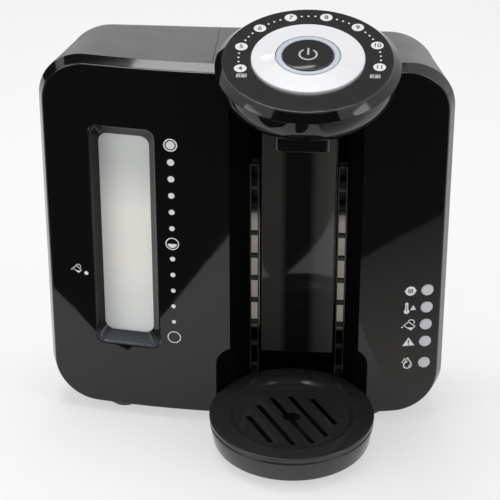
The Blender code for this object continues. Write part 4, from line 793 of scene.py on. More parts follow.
# painted reflection: lighter upright bands at both sides of the back strip, dark in its middle and
# lightest at its right edge
toned(back_gloss_painted_reflection, (1, 0, 0), 0.010, 0.066, [
    (share, (tone, tone * 0.97, tone * 0.92)) for share, tone in (
        (0.0, 0.06), (0.25, 0.06), (0.35, 0.01), (0.65, 0.01), (0.75, 0.06), (1.0, 0.10))])
back_panel = block("back_panel", (BAY_X - BACK_PANEL_WIDTH / 2,
                                  FACE_Y + BAY_DEPTH - GAP - BACK_PANEL_THICK, BACK_PANEL_LOW),
                   (BAY_X + BACK_PANEL_WIDTH / 2, FACE_Y + BAY_DEPTH - GAP, BACK_PANEL_HIGH))
softened(back_panel, 0.0009, 4)
fitted(back_panel, "bay_back_panel_gloss", back_gloss_painted_reflection, "machine",
       ["bay_back_panel"])
true_normals(back_panel, 0.001)

RUNG_FIRST = 0.0210
RUNG_PITCH = 0.0196
RUNG_COUNT = 9
RUNG_HEIGHT = 0.0040
RACK_RAIL = 0.0009

rack_satin = moulded("rack_satin", (0.040, 0.038, 0.037), (0.09, 0.085, 0.08), (0.22, 0.34),
                     grain=(3000.0, 0.15), ripple=0.02)


def repeat_tree():
    """Geometry Nodes: copies of a shape, each raised by a pitch and turned about Z by an angle."""
    tree = bpy.data.node_groups.new("repeat", "GeometryNodeTree")
    for name, kind in (("Geometry", "Geometry"), ("Count", "Int"), ("Pitch", "Float"),
                       ("Turn", "Float"), ("Material", "Material")):
        tree.interface.new_socket(name, in_out="INPUT", socket_type="NodeSocket" + kind)
    tree.interface.new_socket("Geometry", in_out="OUTPUT", socket_type="NodeSocketGeometry")
    ask = add(tree, "NodeGroupInput").outputs
    line = add(tree, "GeometryNodeMeshLine", Count=ask["Count"],
               Offset=add(tree, "CombineXYZ", Z=ask["Pitch"]))
    angle = add(tree, "Math", add(tree, "GeometryNodeInputIndex"), ask["Turn"],
                operation="MULTIPLY")
    copies = add(tree, "GeometryNodeInstanceOnPoints", Points=line, Instance=ask["Geometry"],
                 Rotation=add(tree, "CombineXYZ", Z=angle))
    real = add(tree, "GeometryNodeRealizeInstances", Geometry=copies)
    finish = add(tree, "GeometryNodeSetMaterial", Geometry=real, Material=ask["Material"])
    add(tree, "NodeGroupOutput", Geometry=finish)
    return tree


REPEAT = repeat_tree()


def repeated(item, **values):
    """Runs the repeat tree on an object with named inputs, and keeps its result."""
    change = item.modifiers.new("repeat", "NODES")
    change.node_group = REPEAT
    for socket in REPEAT.interface.items_tree:
        if socket.in_out == "INPUT" and socket.name in values:
            change[socket.identifier] = values[socket.name]
    return baked(item)


# painted light: a cream band that glows a little at the heights that the daylight reaches, with
# painted shade, black, above and below
rack_painted_light = moulded("rack_painted_light", (0.50, 0.46, 0.41), (0.55, 0.50, 0.44), (0.35, 0.5), ripple=0.02)
toned(rack_painted_light, (0, 0, 1), 0.0, 0.25, ((0.20, (0, 0, 0)), (0.24, (0.40, 0.37, 0.32)),
                                        (0.58, (0.40, 0.37, 0.32)), (0.63, (0, 0, 0))), glow=0.4)
rack_front = FACE_Y + BAY_REAR_START + GAP
rack_low = CASE_FLOOR + GAP
rack_high = RUNG_FIRST + RUNG_COUNT * RUNG_PITCH
for side, label in ((-1, "left"), (1, "right")):
    x = BAY_X + side * RACK_OFFSET
    half = RACK_WIDTH / 2
    rungs = block("rungs", (x - half + RACK_RAIL / 2, rack_front, RUNG_FIRST - RUNG_HEIGHT / 2),
                  (x + half - RACK_RAIL / 2, rack_front + RACK_THICK, RUNG_FIRST + RUNG_HEIGHT / 2))
    softened(rungs, 0.0011, 4)
    repeated(rungs, Count=RUNG_COUNT, Pitch=RUNG_PITCH, Material=rack_satin)
    rails = block("rails", (x - half, rack_front, rack_low),
                  (x + half, rack_front + RACK_THICK, rack_high))
    slot_space = block(
        "slot_space", (x - half + RACK_RAIL, rack_front - OVERRUN, rack_low + 0.0012),
        (x + half - RACK_RAIL, rack_front + RACK_THICK + OVERRUN, rack_high - 0.0012))
    combined(rails, [slot_space])
    combined(rails, [rungs], "UNION")
    dropped(rungs, slot_space)
    fitted(rails, f"rack_{label}_ladder", rack_satin, "machine", [f"rack_{label}"])
    # painted light: a thin strip behind each ladder that carries the glowing cream band and its
    # black painted shade
    painted_light_strip = block("painted_light_strip", (x - half, rack_front + 0.0088, 0.030),
                    (x + half, rack_front + 0.0096, rack_high))
    fitted(painted_light_strip, f"rack_{label}_backing", rack_painted_light, "machine")
    trim = rod("trim", (x - 0.0046, rack_front - 0.0004, 0.080),
               (x - 0.0046, rack_front - 0.0004, 0.235),
               0.0006, 16)
    fitted(trim, f"rack_{label}_trim", rack_satin, "machine")


# Drip tray
# The bowl is a satin moulding with two tongues that hook into the racks.
# A gloss grille with a rolled rim and a dished, slotted plate drops into it.

TRAY_RADIUS = 0.062
TRAY_TOP = 0.0273
TRAY_UNDERSIDE = 0.0052
TRAY_TAPER = 0.0026
TRAY_WALL = 0.0018
TRAY_SEAM = 0.0012
TRAY_FOOT_ROUND = 0.0030
GRILLE_RIM = 0.0035
GRILLE_PLATE = 0.0020
DISH_OUTER = 0.0490
DISH_INNER = 0.0415
DISH_DEPTH = 0.0034
SLOT_WIDTH = 0.0044
SLOT_PITCH = 0.0135
SLOT_TURN = math.radians(-60.0)
SLOT_LENGTHS = (0.0400, 0.0610, 0.0690, 0.0620, 0.0400)
KEYHOLE_RADIUS = 0.0068
TONGUE = (0.0042, 0.0085, 0.0050)

TRAY_PLACE = Matrix.Translation((BAY_X, TRAY_Y, 0.0))
rim_low = TRAY_TOP - GRILLE_RIM
seat = rim_low - GAP
step_in = TRAY_RADIUS - TRAY_SEAM
foot = TRAY_RADIUS - TRAY_TAPER

tray_satin = moulded("tray_satin", (0.036, 0.0345, 0.0345), (0.070, 0.068, 0.066), (0.16, 0.26),
                     grain=(3200.0, 0.10), ripple=0.03)

tray_base = turned("tray_base_shape", [(0.0, TRAY_UNDERSIDE)] + eased(
    [(foot - TRAY_FOOT_ROUND, TRAY_UNDERSIDE), (foot - 0.0008, TRAY_UNDERSIDE + 0.0010),
     (foot, TRAY_UNDERSIDE + TRAY_FOOT_ROUND), (TRAY_RADIUS - 0.0001, seat - TRAY_SEAM),
     (step_in, seat - TRAY_SEAM), (step_in, seat), (step_in - TRAY_WALL, seat),
     (foot - TRAY_WALL, TRAY_UNDERSIDE + TRAY_FOOT_ROUND + TRAY_WALL),
     (foot - TRAY_FOOT_ROUND - TRAY_WALL, TRAY_UNDERSIDE + TRAY_WALL)], 0.0005)
    + [(0.0, TRAY_UNDERSIDE + TRAY_WALL)], TRAY_PLACE)
tongues = []
for side in (-1, 1):
    x = BAY_X + side * RACK_OFFSET
    start = TRAY_Y + math.sqrt((foot - TRAY_WALL) ** 2 - RACK_OFFSET ** 2)
    sill = CASE_FLOOR + 2 * GAP + 0.0012
    tongue = block("tongue", (x - TONGUE[0] / 2, start, sill),
                   (x + TONGUE[0] / 2, rack_front + TONGUE[2], sill + TONGUE[1]))
    tongues.append(softened(tongue, 0.0006, 3))
combined(tray_base, tongues, "UNION")
dropped(*tongues)
fitted(tray_base, "tray_base_satin", tray_satin, "tray", ["tray_base"])

grille_gloss = moulded("grille_gloss", (0.030, 0.0292, 0.0290), (0.170, 0.168, 0.165),
                       (0.08, 0.22), grain=(1500.0, 0.08), ripple=0.30)
dish = TRAY_TOP - DISH_DEPTH
rim_in = step_in - TRAY_WALL - SLIP
plate_low = dish - GRILLE_PLATE
rim_ring = turned("grille_shape", eased(
    [(DISH_INNER - 0.0006, dish)]
    + [(DISH_INNER + (DISH_OUTER - DISH_INNER) * step / 12,
        dish + DISH_DEPTH * (1 - math.cos(math.pi * step / 12)) / 2) for step in range(13)] + [
     (TRAY_RADIUS, TRAY_TOP), (TRAY_RADIUS, rim_low), (rim_in, rim_low),
     (rim_in, rim_low - TRAY_SEAM), (rim_in - GRILLE_PLATE, rim_low - TRAY_SEAM),
     (rim_in - GRILLE_PLATE, TRAY_TOP - GRILLE_PLATE), (DISH_OUTER, TRAY_TOP - GRILLE_PLATE),
     (DISH_INNER, plate_low), (DISH_INNER - 0.0006, plate_low)], 0.0008), TRAY_PLACE)


def slot_outline(length, across, along):
    """A slot with round ends, turned and placed on the grille."""
    half, radius = length / 2 - SLOT_WIDTH / 2, SLOT_WIDTH / 2
    turn = Matrix.Rotation(SLOT_TURN, 2)
    points = []
    for end, start in ((1, -90), (-1, 90)):
        for step in range(13):
            angle = math.radians(start + 180 * step / 12)
            spot = turn @ Vector((end * half + radius * math.cos(angle) + along,
                                  radius * math.sin(angle) + across))
            points.append((BAY_X + spot.x, TRAY_Y + spot.y))
    return points


plate_ring = [(BAY_X + (DISH_INNER - 0.0003) * math.cos(math.tau * i / 96),
               TRAY_Y + (DISH_INNER - 0.0003) * math.sin(math.tau * i / 96)) for i in range(96)]
plate = prism("plate", plate_ring, plate_low + 0.00005, dish - 0.00005)
slot_tools = [prism("slot", slot_outline(length, (index - 2) * SLOT_PITCH - SLOT_WIDTH / 2,
                                         SLOT_WIDTH), plate_low - OVERRUN, dish + OVERRUN)
              for index, length in enumerate(SLOT_LENGTHS)]
slot_tools.append(rod("keyhole", (BAY_X, TRAY_Y, plate_low - OVERRUN),
                      (BAY_X, TRAY_Y, dish + OVERRUN), KEYHOLE_RADIUS, steps=40))
combined(plate, slot_tools)
softened(plate, 0.0006, 3, 50)
combined(rim_ring, [plate], "UNION")
dropped(plate, *slot_tools)
fitted(rim_ring, "tray_grille_gloss", grille_gloss, "grille", ["tray_grille"])


# Control head
# A gloss bowl holds the number ring, which is one moulding with the sloping rim round it.
# In it sit the white dial, which turns, the lit ring and the gloss start button.

HEAD_TOP_RADIUS = 0.0596
HEAD_RIM_RADIUS = 0.0652
HEAD_RIM_DROP = 0.0053
HEAD_COVER_WALL = 0.0020
BOWL_WALL = 0.0024
BOWL_PORT = 0.0100
DIAL_RADIUS = 0.0398
DIAL_RISE = 0.0018
DIAL_CROWN = 0.0034
DIAL_EDGE = 0.0010
WELL_DEPTH = 0.0050
RING_RADIUS = 0.0227
RING_TOP = 0.0038
BUTTON_RADIUS = 0.0180
BUTTON_TOP = 0.0046
BUTTON_DOME = 0.0006
BUTTON_STEM = 0.0030
FIRST_NUMBER = math.radians(192.5)

outer = bowl_curve()
inner = [(r * (BOWL_RADIUS - BOWL_WALL) / BOWL_RADIUS,
          outer[0][1] + (h - outer[0][1]) * (BOWL_DEPTH - BOWL_WALL) / BOWL_DEPTH)
         for r, h in outer]
outside = [p for p in outer if p[0] > BOWL_PORT] + [(BOWL_PORT, outer[-1][1])]
inside = [p for p in inner if p[0] > BOWL_PORT] + [(BOWL_PORT, inner[-1][1])]
bowl = turned("bowl", outside + inside[::-1], HEAD_PLACE)
barb_angle = math.radians(36.0)
barb_root = HEAD_PLACE @ Vector((
    0.0, BOWL_RADIUS * math.cos(barb_angle) ** (2 / BOWL_POWER) - BOWL_WALL / 2,
    HEAD_RIM - GAP - BOWL_DEPTH * math.sin(barb_angle) ** (2 / BOWL_POWER)))
barb_way = Matrix.Rotation(math.radians(75.0), 3, "X") @ Vector((0.0, 0.0, -1.0))
barb = rod("barb", barb_root, barb_root + barb_way * 0.0050, 0.0030, steps=24)
combined(bowl, [barb], "UNION")
dropped(barb)
fitted(bowl, "head_bowl_gloss", gloss_black, "machine", ["head_bowl"], 40.0)

ring_black = moulded("number_ring_black", (0.005, 0.005, 0.005), (0.030, 0.029, 0.028),
                     (0.05, 0.10), grain=(1200.0, 0.03), ripple=0.06)
head_up = HEAD_PLACE.to_3x3() @ Vector((0.0, 0.0, 1.0))
head_level = head_up.dot(HEAD_PLACE.translation)
toned(ring_black, head_up, head_level - 0.0011, head_level - 0.0004,
      ((0.0, (0.004, 0.004, 0.004)), (1.0, (0.030, 0.030, 0.031))))
well = DIAL_RADIUS + SLIP
well_floor = -WELL_DEPTH
cover = turned("cover", eased(
    [(HEAD_TOP_RADIUS, 0.0), (HEAD_RIM_RADIUS, -HEAD_RIM_DROP), (HEAD_RIM_RADIUS, HEAD_RIM),
     (BOWL_RADIUS - BOWL_WALL - SLIP, HEAD_RIM),
     (BOWL_RADIUS - BOWL_WALL - SLIP, HEAD_RIM - BOWL_WALL),
     (BOWL_RADIUS - 2 * BOWL_WALL, HEAD_RIM - BOWL_WALL),
     (BOWL_RADIUS - 2 * BOWL_WALL, -2 * HEAD_COVER_WALL),
     (HEAD_TOP_RADIUS - BOWL_WALL, -HEAD_COVER_WALL),
     (well + HEAD_COVER_WALL, -HEAD_COVER_WALL),
     (well + HEAD_COVER_WALL, well_floor - HEAD_COVER_WALL),
     (BUTTON_STEM + SLIP, well_floor - HEAD_COVER_WALL), (BUTTON_STEM + SLIP, well_floor),
     (well, well_floor), (well, 0.0)], 0.0007, 6), HEAD_PLACE)
fitted(cover, "head_number_ring", ring_black, "machine", ["head_number_cover"])

dial_white = moulded("dial_white", (0.66, 0.66, 0.685), (0.60, 0.60, 0.62), (0.30, 0.42),
                     grain=(2800.0, 0.08), ripple=0.02)
dial_profile = [(RING_RADIUS + GAP, DIAL_CROWN)]
for step in range(1, 12):
    share = step / 12
    radius = RING_RADIUS + GAP + (DIAL_RADIUS - DIAL_EDGE - RING_RADIUS - GAP) * share
    dial_profile.append((radius, DIAL_CROWN + (DIAL_RISE - DIAL_CROWN) * share ** 1.15))
dial_profile += [(DIAL_RADIUS - DIAL_EDGE * (1 - out), DIAL_RISE - DIAL_EDGE * (1 - up))
                 for out, up in quarter(6)]
dial_profile += [(DIAL_RADIUS, well_floor + GAP), (RING_RADIUS + GAP, well_floor + GAP)]
dial = turned("dial", dial_profile, HEAD_PLACE)
DIMPLE_RADIUS = 0.0066
DIMPLE_DEPTH = 0.0009
DIMPLE_PLACE = 0.0302
ball = (DIMPLE_RADIUS ** 2 + DIMPLE_DEPTH ** 2) / (2 * DIMPLE_DEPTH)
share = (DIMPLE_PLACE - RING_RADIUS) / (DIAL_RADIUS - RING_RADIUS)
surface = DIAL_CROWN + (DIAL_RISE - DIAL_CROWN) * share
dimple_profile = []
for step in range(17):
    angle = 2 * DIMPLE_RADIUS / ball * (1 - step / 16)
    dimple_profile.append((ball * math.sin(angle), -ball * math.cos(angle)))
dimple_profile[-1] = (0.0, -ball)
dimple = turned("dimple", [(0.0, dimple_profile[0][1])] + dimple_profile,
                HEAD_PLACE @ Matrix.Translation((DIMPLE_PLACE * math.cos(FIRST_NUMBER),
                                                 DIMPLE_PLACE * math.sin(FIRST_NUMBER),
                                                 surface - DIMPLE_DEPTH + ball)), 64)
combined(dial, [dimple])
dropped(dimple)
fitted(dial, "volume_dial_white", dial_white, "dial", ["volume_dial"], 12.0)

ring_lit = moulded("lit_ring", (0.46, 0.50, 0.55), (0.60, 0.63, 0.66), (0.25, 0.35),
                   grain=(1800.0, 0.10), ripple=0.02)
light_ring = turned("light_ring_shape", eased(
    [(BUTTON_RADIUS + GAP, RING_TOP - 0.0006), (BUTTON_RADIUS + 0.0012, RING_TOP),
     (RING_RADIUS - 0.0010, RING_TOP - 0.0001), (RING_RADIUS, RING_TOP - 0.0012),
     (RING_RADIUS, well_floor + GAP), (BUTTON_RADIUS + GAP, well_floor + GAP)], 0.0003),
    HEAD_PLACE)
fitted(light_ring, "light_ring_frosted", ring_lit, "machine", ["light_ring"])

stem_end = -0.0140 + 0.0030 + GAP + 0.0015
button_profile = [(0.0, BUTTON_TOP)]
for step in range(1, 13):
    share = step / 12
    button_profile.append(((BUTTON_RADIUS - BUTTON_DOME) * share,
                           BUTTON_TOP - BUTTON_DOME * share ** 3))
button_profile += [(BUTTON_RADIUS - BUTTON_DOME * (1 - out),
                     BUTTON_TOP - BUTTON_DOME - BUTTON_DOME * (1 - up))
                    for out, up in quarter(6)[1:]]
button_profile += [(BUTTON_RADIUS, -0.0030), (BUTTON_STEM, -0.0030), (BUTTON_STEM, stem_end),
                   (0.0, stem_end)]
button = turned("button", button_profile, HEAD_PLACE)
fitted(button, "start_button_black", ring_black, "start", ["start_button"])


# Outlet under the head
# A gloss block with rounded corners hangs under the bowl and hides the two steel nozzles.

OUTLET_WIDTH = 0.0390
OUTLET_LOW = 0.2506
OUTLET_X = BAY_X + 0.0057
NOZZLE_RADIUS = 0.0034
NOZZLE_ASIDE = 0.0080
nozzle_y = FACE_Y - 0.0220
outlet_front, outlet_back = nozzle_y - 0.0140, nozzle_y + 0.0140
outlet_top = HEAD_CENTRE_HEIGHT - BOWL_DEPTH
housing = prism("housing", eased([(OUTLET_X - OUTLET_WIDTH / 2, outlet_front),
                                  (OUTLET_X + OUTLET_WIDTH / 2, outlet_front),
                                  (OUTLET_X + OUTLET_WIDTH / 2, outlet_back),
                                  (OUTLET_X - OUTLET_WIDTH / 2, outlet_back)], 0.0050, 12),
                OUTLET_LOW, outlet_top)
softened(housing, 0.0014, 4, 60)
outlet_seat = bowl_space(GAP)
outlet_tools = [outlet_seat]
for side in (-1, 1):
    x = OUTLET_X + side * NOZZLE_ASIDE
    outlet_tools.append(rod("nozzle_hole", (x, nozzle_y, OUTLET_LOW - OVERRUN),
                            (x, nozzle_y, outlet_top + OVERRUN), NOZZLE_RADIUS + GAP, steps=40))
combined(housing, outlet_tools)
dropped(*outlet_tools)
fitted(housing, "outlet_housing_gloss", gloss_black, "machine",
       ["outlet_housing"])
dropped(head_room, panel_pocket, pocket_floor, panel_hollow)


# Prints on the head
# White discs with dark numbers from 4 to 11, three dots between each pair, a small lying
# bottle before the first and last number, and the ring and bar on the start button.

PRINT_THICK = 0.00004
NUMBER_CIRCLE = 0.0495
NUMBER_START = math.radians(197.0)
NUMBER_STEP = math.radians(29.6)
NUMBER_DISC = 0.0044
DOT_RADIUS = 0.00078
NUMERAL_SIZE = 0.0060
POWER_RADIUS = 0.0060
POWER_DROP = 0.0004
MARK_SPOTS = ((-0.0450, -0.0207), (0.0469, -0.0175))
PRINT_PLACE = HEAD_PLACE @ Matrix.Translation((0.0010, 0.0019, 0.0))


def polar(x, y, radius, angle):
    """A point on a circle about x, y."""
    return x + radius * math.cos(angle), y + radius * math.sin(angle)


def disc_lines(x, y, radius, steps=28):
    """Outline of a disc, as one polygon in a list."""
    return [[polar(x, y, radius, math.tau * i / steps) for i in range(steps)]]


def ring_lines(x, y, outer, inner, start=0.0, sweep=360.0, steps=40):
    """A ring, or an arc of one, as a list of small four-sided polygons."""
    spots = [math.radians(start + sweep * i / steps) for i in range(steps + 1)]
    return [[polar(x, y, inner, one), polar(x, y, outer, one), polar(x, y, outer, two),
             polar(x, y, inner, two)] for one, two in zip(spots, spots[1:])]


def stroke_lines(points, width):
    """Straight strokes of one width along a list of points."""
    shapes = []
    for a, b in zip(points, points[1:]):
        way = (Vector(b) - Vector(a)).normalized() * width / 2
        side = Vector((-way.y, way.x))
        a, b = Vector(a) - way * 0.5, Vector(b) + way * 0.5
        shapes.append([tuple(a + side), tuple(a - side), tuple(b - side), tuple(b + side)])
    return shapes


def printed(name, shapes, lift):
    """A thin print: flat polygons, each drawn out to the print's thickness by a place function."""

    def build(work):
        for outline in shapes:
            high = [work.verts.new(lift(u, v, PRINT_THICK)) for u, v in outline]
            low = [work.verts.new(lift(u, v, -PRINT_THICK / 2)) for u, v in outline]
            work.faces.new(high)
            work.faces.new(low[::-1])
            for i in range(len(high)):
                j = (i + 1) % len(high)
                work.faces.new((high[i], low[i], low[j], high[j]))

    return shape(name, build)


def head_lift(height):
    """Places a print on the head's tilted top at a height of its own."""
    return lambda u, v, rise: HEAD_PLACE @ Vector((u, v, height + rise))


def flat_lift(u, v, rise):
    """Leaves a print lying at the origin."""
    return Vector((u, v, rise))


def curve_mesh(curve):
    """The mesh of a curve or of a text."""
    source = linked("source", curve)
    mesh = evaluated(source)
    bpy.data.objects.remove(source)
    return mesh


print_white = moulded("print_white", (0.66, 0.66, 0.655), (0.50, 0.50, 0.49), (0.24, 0.36),
                      grain=(3200.0, 0.10), ripple=0.02)
print_dark = moulded("print_dark", (0.030, 0.030, 0.030), (0.05, 0.05, 0.05), (0.30, 0.40),
                     grain=(3200.0, 0.10), ripple=0.02)
discs = printed("discs", disc_lines(*polar(0, 0, NUMBER_CIRCLE, NUMBER_START), NUMBER_DISC, 36),
                flat_lift)
repeated(discs, Count=8, Turn=-NUMBER_STEP, Material=print_white)
dot_shapes = []
for share in (-0.19, 0.0, 0.19):
    spot = polar(0, 0, NUMBER_CIRCLE, NUMBER_START - NUMBER_STEP * (0.5 + share))
    dot_shapes += disc_lines(*spot, DOT_RADIUS, 16)
dots = printed("dots", dot_shapes, flat_lift)
repeated(dots, Count=7, Turn=-NUMBER_STEP, Material=print_white)
combined(discs, [dots], "UNION")
dropped(dots)
placed(discs, PRINT_PLACE)
fitted(discs, "number_discs_white", print_white, "machine")

numerals = []
for index, text in enumerate("4 5 6 7 8 9 10 11".split()):
    curve = bpy.data.curves.new("numeral", "FONT")
    curve.body = text
    curve.size = NUMERAL_SIZE
    curve.offset = 0.00010
    curve.space_character = 0.95
    curve.align_x = curve.align_y = "CENTER"
    mesh = curve_mesh(curve)
    spot = polar(0, 0, NUMBER_CIRCLE, NUMBER_START - NUMBER_STEP * index)
    mesh.transform(Matrix.Translation((*spot, 0.0)))
    numerals.append(mesh)


def numeral_build(work):
    """The flat numerals, drawn out to the print's thickness."""
    for mesh in numerals:
        work.from_mesh(mesh)
    drawn = bmesh.ops.extrude_face_region(work, geom=list(work.faces))
    raised = [g for g in drawn["geom"] if isinstance(g, bmesh.types.BMVert)]
    bmesh.ops.translate(work, vec=(0, 0, PRINT_THICK), verts=raised)
    bmesh.ops.translate(work, vec=(0, 0, PRINT_THICK), verts=work.verts)


numbers = placed(shape("numbers", numeral_build), PRINT_PLACE)
fitted(numbers, "numbers_dark", print_dark, "machine")

mark_shapes = []
MARK_LONG, MARK_HIGH, MARK_PEN = 0.0033, 0.0017, 0.00045
for x, y in MARK_SPOTS:
    mark_shapes += stroke_lines([(x + a * MARK_LONG, y + b * MARK_HIGH) for a, b in (
        (-1, -1), (1, -1), (1, 1), (-1, 1), (-1, -1))], MARK_PEN)
    mark_shapes += ring_lines(x - MARK_LONG * 0.55, y, 0.0010, 0.00055, steps=16)
    mark_shapes.append([(x - 0.0002, y - 0.0009), (x + 0.0024, y - 0.0009),
                        (x + 0.0024, y + 0.0002), (x - 0.0002, y + 0.0002)])
    mark_shapes += stroke_lines([(x + 0.0003, y + 0.0008), (x + 0.0022, y + 0.0008)], 0.0003)
marks = printed("marks", mark_shapes, head_lift(0.0))
fitted(marks, "bottle_marks_white", print_white, "machine")

power_grey = moulded("power_grey", (0.40, 0.40, 0.41), (0.30, 0.30, 0.30), (0.26, 0.36),
                     grain=(3200.0, 0.10), ripple=0.02)
sign = ring_lines(0.0, -POWER_DROP, POWER_RADIUS + 0.0007, POWER_RADIUS - 0.0007, 128.0, 284.0)
for angle in (128.0, 52.0):
    sign += disc_lines(*polar(0.0, -POWER_DROP, POWER_RADIUS, math.radians(angle)), 0.0007, 14)
sign += stroke_lines([(0.0, -0.0006), (0.0, 0.0066)], 0.0014)
power_sign = printed("power_sign", sign, head_lift(BUTTON_TOP - 0.00003))
fitted(power_sign, "power_sign_grey", power_grey, "start")


# Prints on the front panels
# Level marks beside the window, a small jug with its dot, and a sign beside each lamp.

print_front = moulded("print_front", (0.86, 0.86, 0.85), (0.70, 0.70, 0.69), (0.22, 0.34),
                      grain=(3200.0, 0.10), ripple=0.02)


def panel_lift(u, v, rise):
    """Places a print on the bowed front."""
    return Vector((u, FACE_Y + bow(u) - rise, v))


LEVEL_X = -0.0524
LEVEL_FIRST = 0.2211
LEVEL_PITCH = 0.01352
HALF_GAP = 0.943 * LEVEL_PITCH
level_shapes = ring_lines(LEVEL_X, LEVEL_FIRST + 0.0138, 0.0051, 0.0041)
level_shapes += disc_lines(LEVEL_X, LEVEL_FIRST + 0.0138, 0.0032, 32)
for step in range(5):
    level_shapes += disc_lines(LEVEL_X, LEVEL_FIRST - step * LEVEL_PITCH,
                               0.00265 - 0.00015 * step, 24)
half_full = LEVEL_FIRST - 4 * LEVEL_PITCH - HALF_GAP
level_shapes += ring_lines(LEVEL_X, half_full, 0.0051, 0.0043)
level_shapes.append([polar(LEVEL_X, half_full, 0.0034, math.radians(180 + 180 * i / 16))
                     for i in range(17)])
for step in range(5):
    level_shapes += disc_lines(LEVEL_X, half_full - HALF_GAP - step * LEVEL_PITCH,
                               0.00200 - 0.00011 * step, 20)
level_shapes += ring_lines(LEVEL_X, half_full - HALF_GAP - 5 * LEVEL_PITCH, 0.0051, 0.0044)
levels = printed("levels", level_shapes, panel_lift)
fitted(levels, "level_marks_white", print_front, "machine")


def jug_lines(x, z, size):
    """A tilted jug that pours to the left: outline, handle, water at the bottom and a drop."""
    spout, top, right, low = [(x + u * size, z + v * size) for u, v in (
        (-0.62, 0.00), (-0.08, 0.47), (0.66, -0.16), (0.22, -0.62))]
    shapes = stroke_lines([spout, top, right, low, spout], size * 0.10)
    shapes += ring_lines(x + size * 0.20, z + size * 0.36, size * 0.42, size * 0.32,
                         -25.0, 170.0, 18)
    shapes.append([(x - size * 0.18, z - size * 0.28), low, (x + size * 0.50, z - size * 0.32)])
    shapes += disc_lines(x - size * 0.80, z - size * 0.20, size * 0.10, 12)
    return shapes


def triangle_lines(x, z, half, high):
    """An upright triangle."""
    return [[(x - half, z - high / 2), (x + half, z - high / 2), (x, z + high / 2)]]


SIGN_X = LAMP_X - 0.0125
filter_z, heat_z, jug_z, scale_z, clean_z = LAMP_HEIGHTS
sign_shapes = disc_lines(SIGN_X, filter_z, 0.0039, 36)
for side in (-1, 1):
    sign_shapes.append([(SIGN_X + side * 0.0047, filter_z),
                        (SIGN_X + side * 0.0036, filter_z + 0.0008),
                        (SIGN_X + side * 0.0036, filter_z - 0.0008)])
bulb_x = SIGN_X - 0.0024
sign_shapes += disc_lines(bulb_x, heat_z - 0.0026, 0.0021, 24)
sign_shapes += stroke_lines([(bulb_x, heat_z - 0.0020), (bulb_x, heat_z + 0.0036)], 0.0023)
sign_shapes += disc_lines(bulb_x, heat_z + 0.0040, 0.00115, 18)
sign_shapes += triangle_lines(SIGN_X + 0.0024, heat_z + 0.0005, 0.0022, 0.0042)
sign_shapes += jug_lines(SIGN_X, jug_z, 0.0066)
sign_shapes += triangle_lines(SIGN_X, scale_z + 0.0006, 0.0046, 0.0072)
drop_z = clean_z - 0.0013
angles = [math.radians(90.0 + 296.0 * i / 23) for i in range(24)]
for one, two in zip(angles, angles[1:]):
    sign_shapes.append([polar(SIGN_X, drop_z, 0.0031 * share, angle) for share, angle in (
        (0.78, one), (1.08, one), (1.08, two), (0.78, two))])
for side in (-1, 1):
    sign_shapes += stroke_lines([(SIGN_X + side * 0.0027, clean_z + 0.0002),
                                 (SIGN_X - side * 0.0001, clean_z + 0.0052)], 0.0008)
sign_shapes += ring_lines(SIGN_X, drop_z, 0.0018, 0.0012, -60.0, 80.0, 10)
for u, v in ((-0.0031, 0.0031), (-0.0040, 0.0014), (-0.0023, 0.0044)):
    sign_shapes += disc_lines(SIGN_X + u, clean_z + v, 0.00065, 10)
sign_shapes += jug_lines(-0.1257, 0.1246, 0.0052)
sign_shapes += disc_lines(-0.1186, 0.1218, 0.0016, 16)
signs = printed("signs", sign_shapes, panel_lift)
fitted(signs, "panel_signs_white", print_front, "machine")

# the dark slots of the filter sign and the dark strokes in the two warning triangles
over = []
for step in (-1, 0, 1):
    over += stroke_lines([(SIGN_X + 0.0013 * step, filter_z - 0.0016),
                          (SIGN_X + 0.0013 * step, filter_z + 0.0016)], 0.0008)
over += stroke_lines([(bulb_x, heat_z - 0.0024), (bulb_x, heat_z + 0.0030)], 0.0005)
over += stroke_lines([(SIGN_X + 0.0024, heat_z - 0.0003), (SIGN_X + 0.0024, heat_z + 0.0009)],
                     0.0004)
over += stroke_lines([(SIGN_X, scale_z - 0.0008), (SIGN_X, scale_z + 0.0018)], 0.0009)
over += disc_lines(SIGN_X, scale_z - 0.0022, 0.0005, 10)
darks = printed("darks", over, lambda u, v, rise: panel_lift(u, v, rise + PRINT_THICK))
fitted(darks, "panel_signs_dark", print_dark, "machine")


# Lamps
# Five frosted caps, each a shallow dome on a flange and stem behind the panel. Three press in.

def frosted(name, colour, speck, scale):
    """A frosted plastic with fine bright and dark mottling."""
    material, tree, shader, place = blank(name)
    mottle = add(tree, "TexNoise", Vector=place, Scale=scale, Detail=4.0)
    share = add(tree, "MapRange", Value=mottle, From_Min=0.35, From_Max=0.68)
    tone = add(tree, "Mix", data_type="RGBA", Factor=share, A=(*colour, 1.0), B=(*speck, 1.0))
    bump = add(tree, "Bump", Strength=0.25, Distance=0.00008, Height=mottle)
    feed(shader, Base_Color=tone, Normal=bump, Roughness=0.42)
    return material


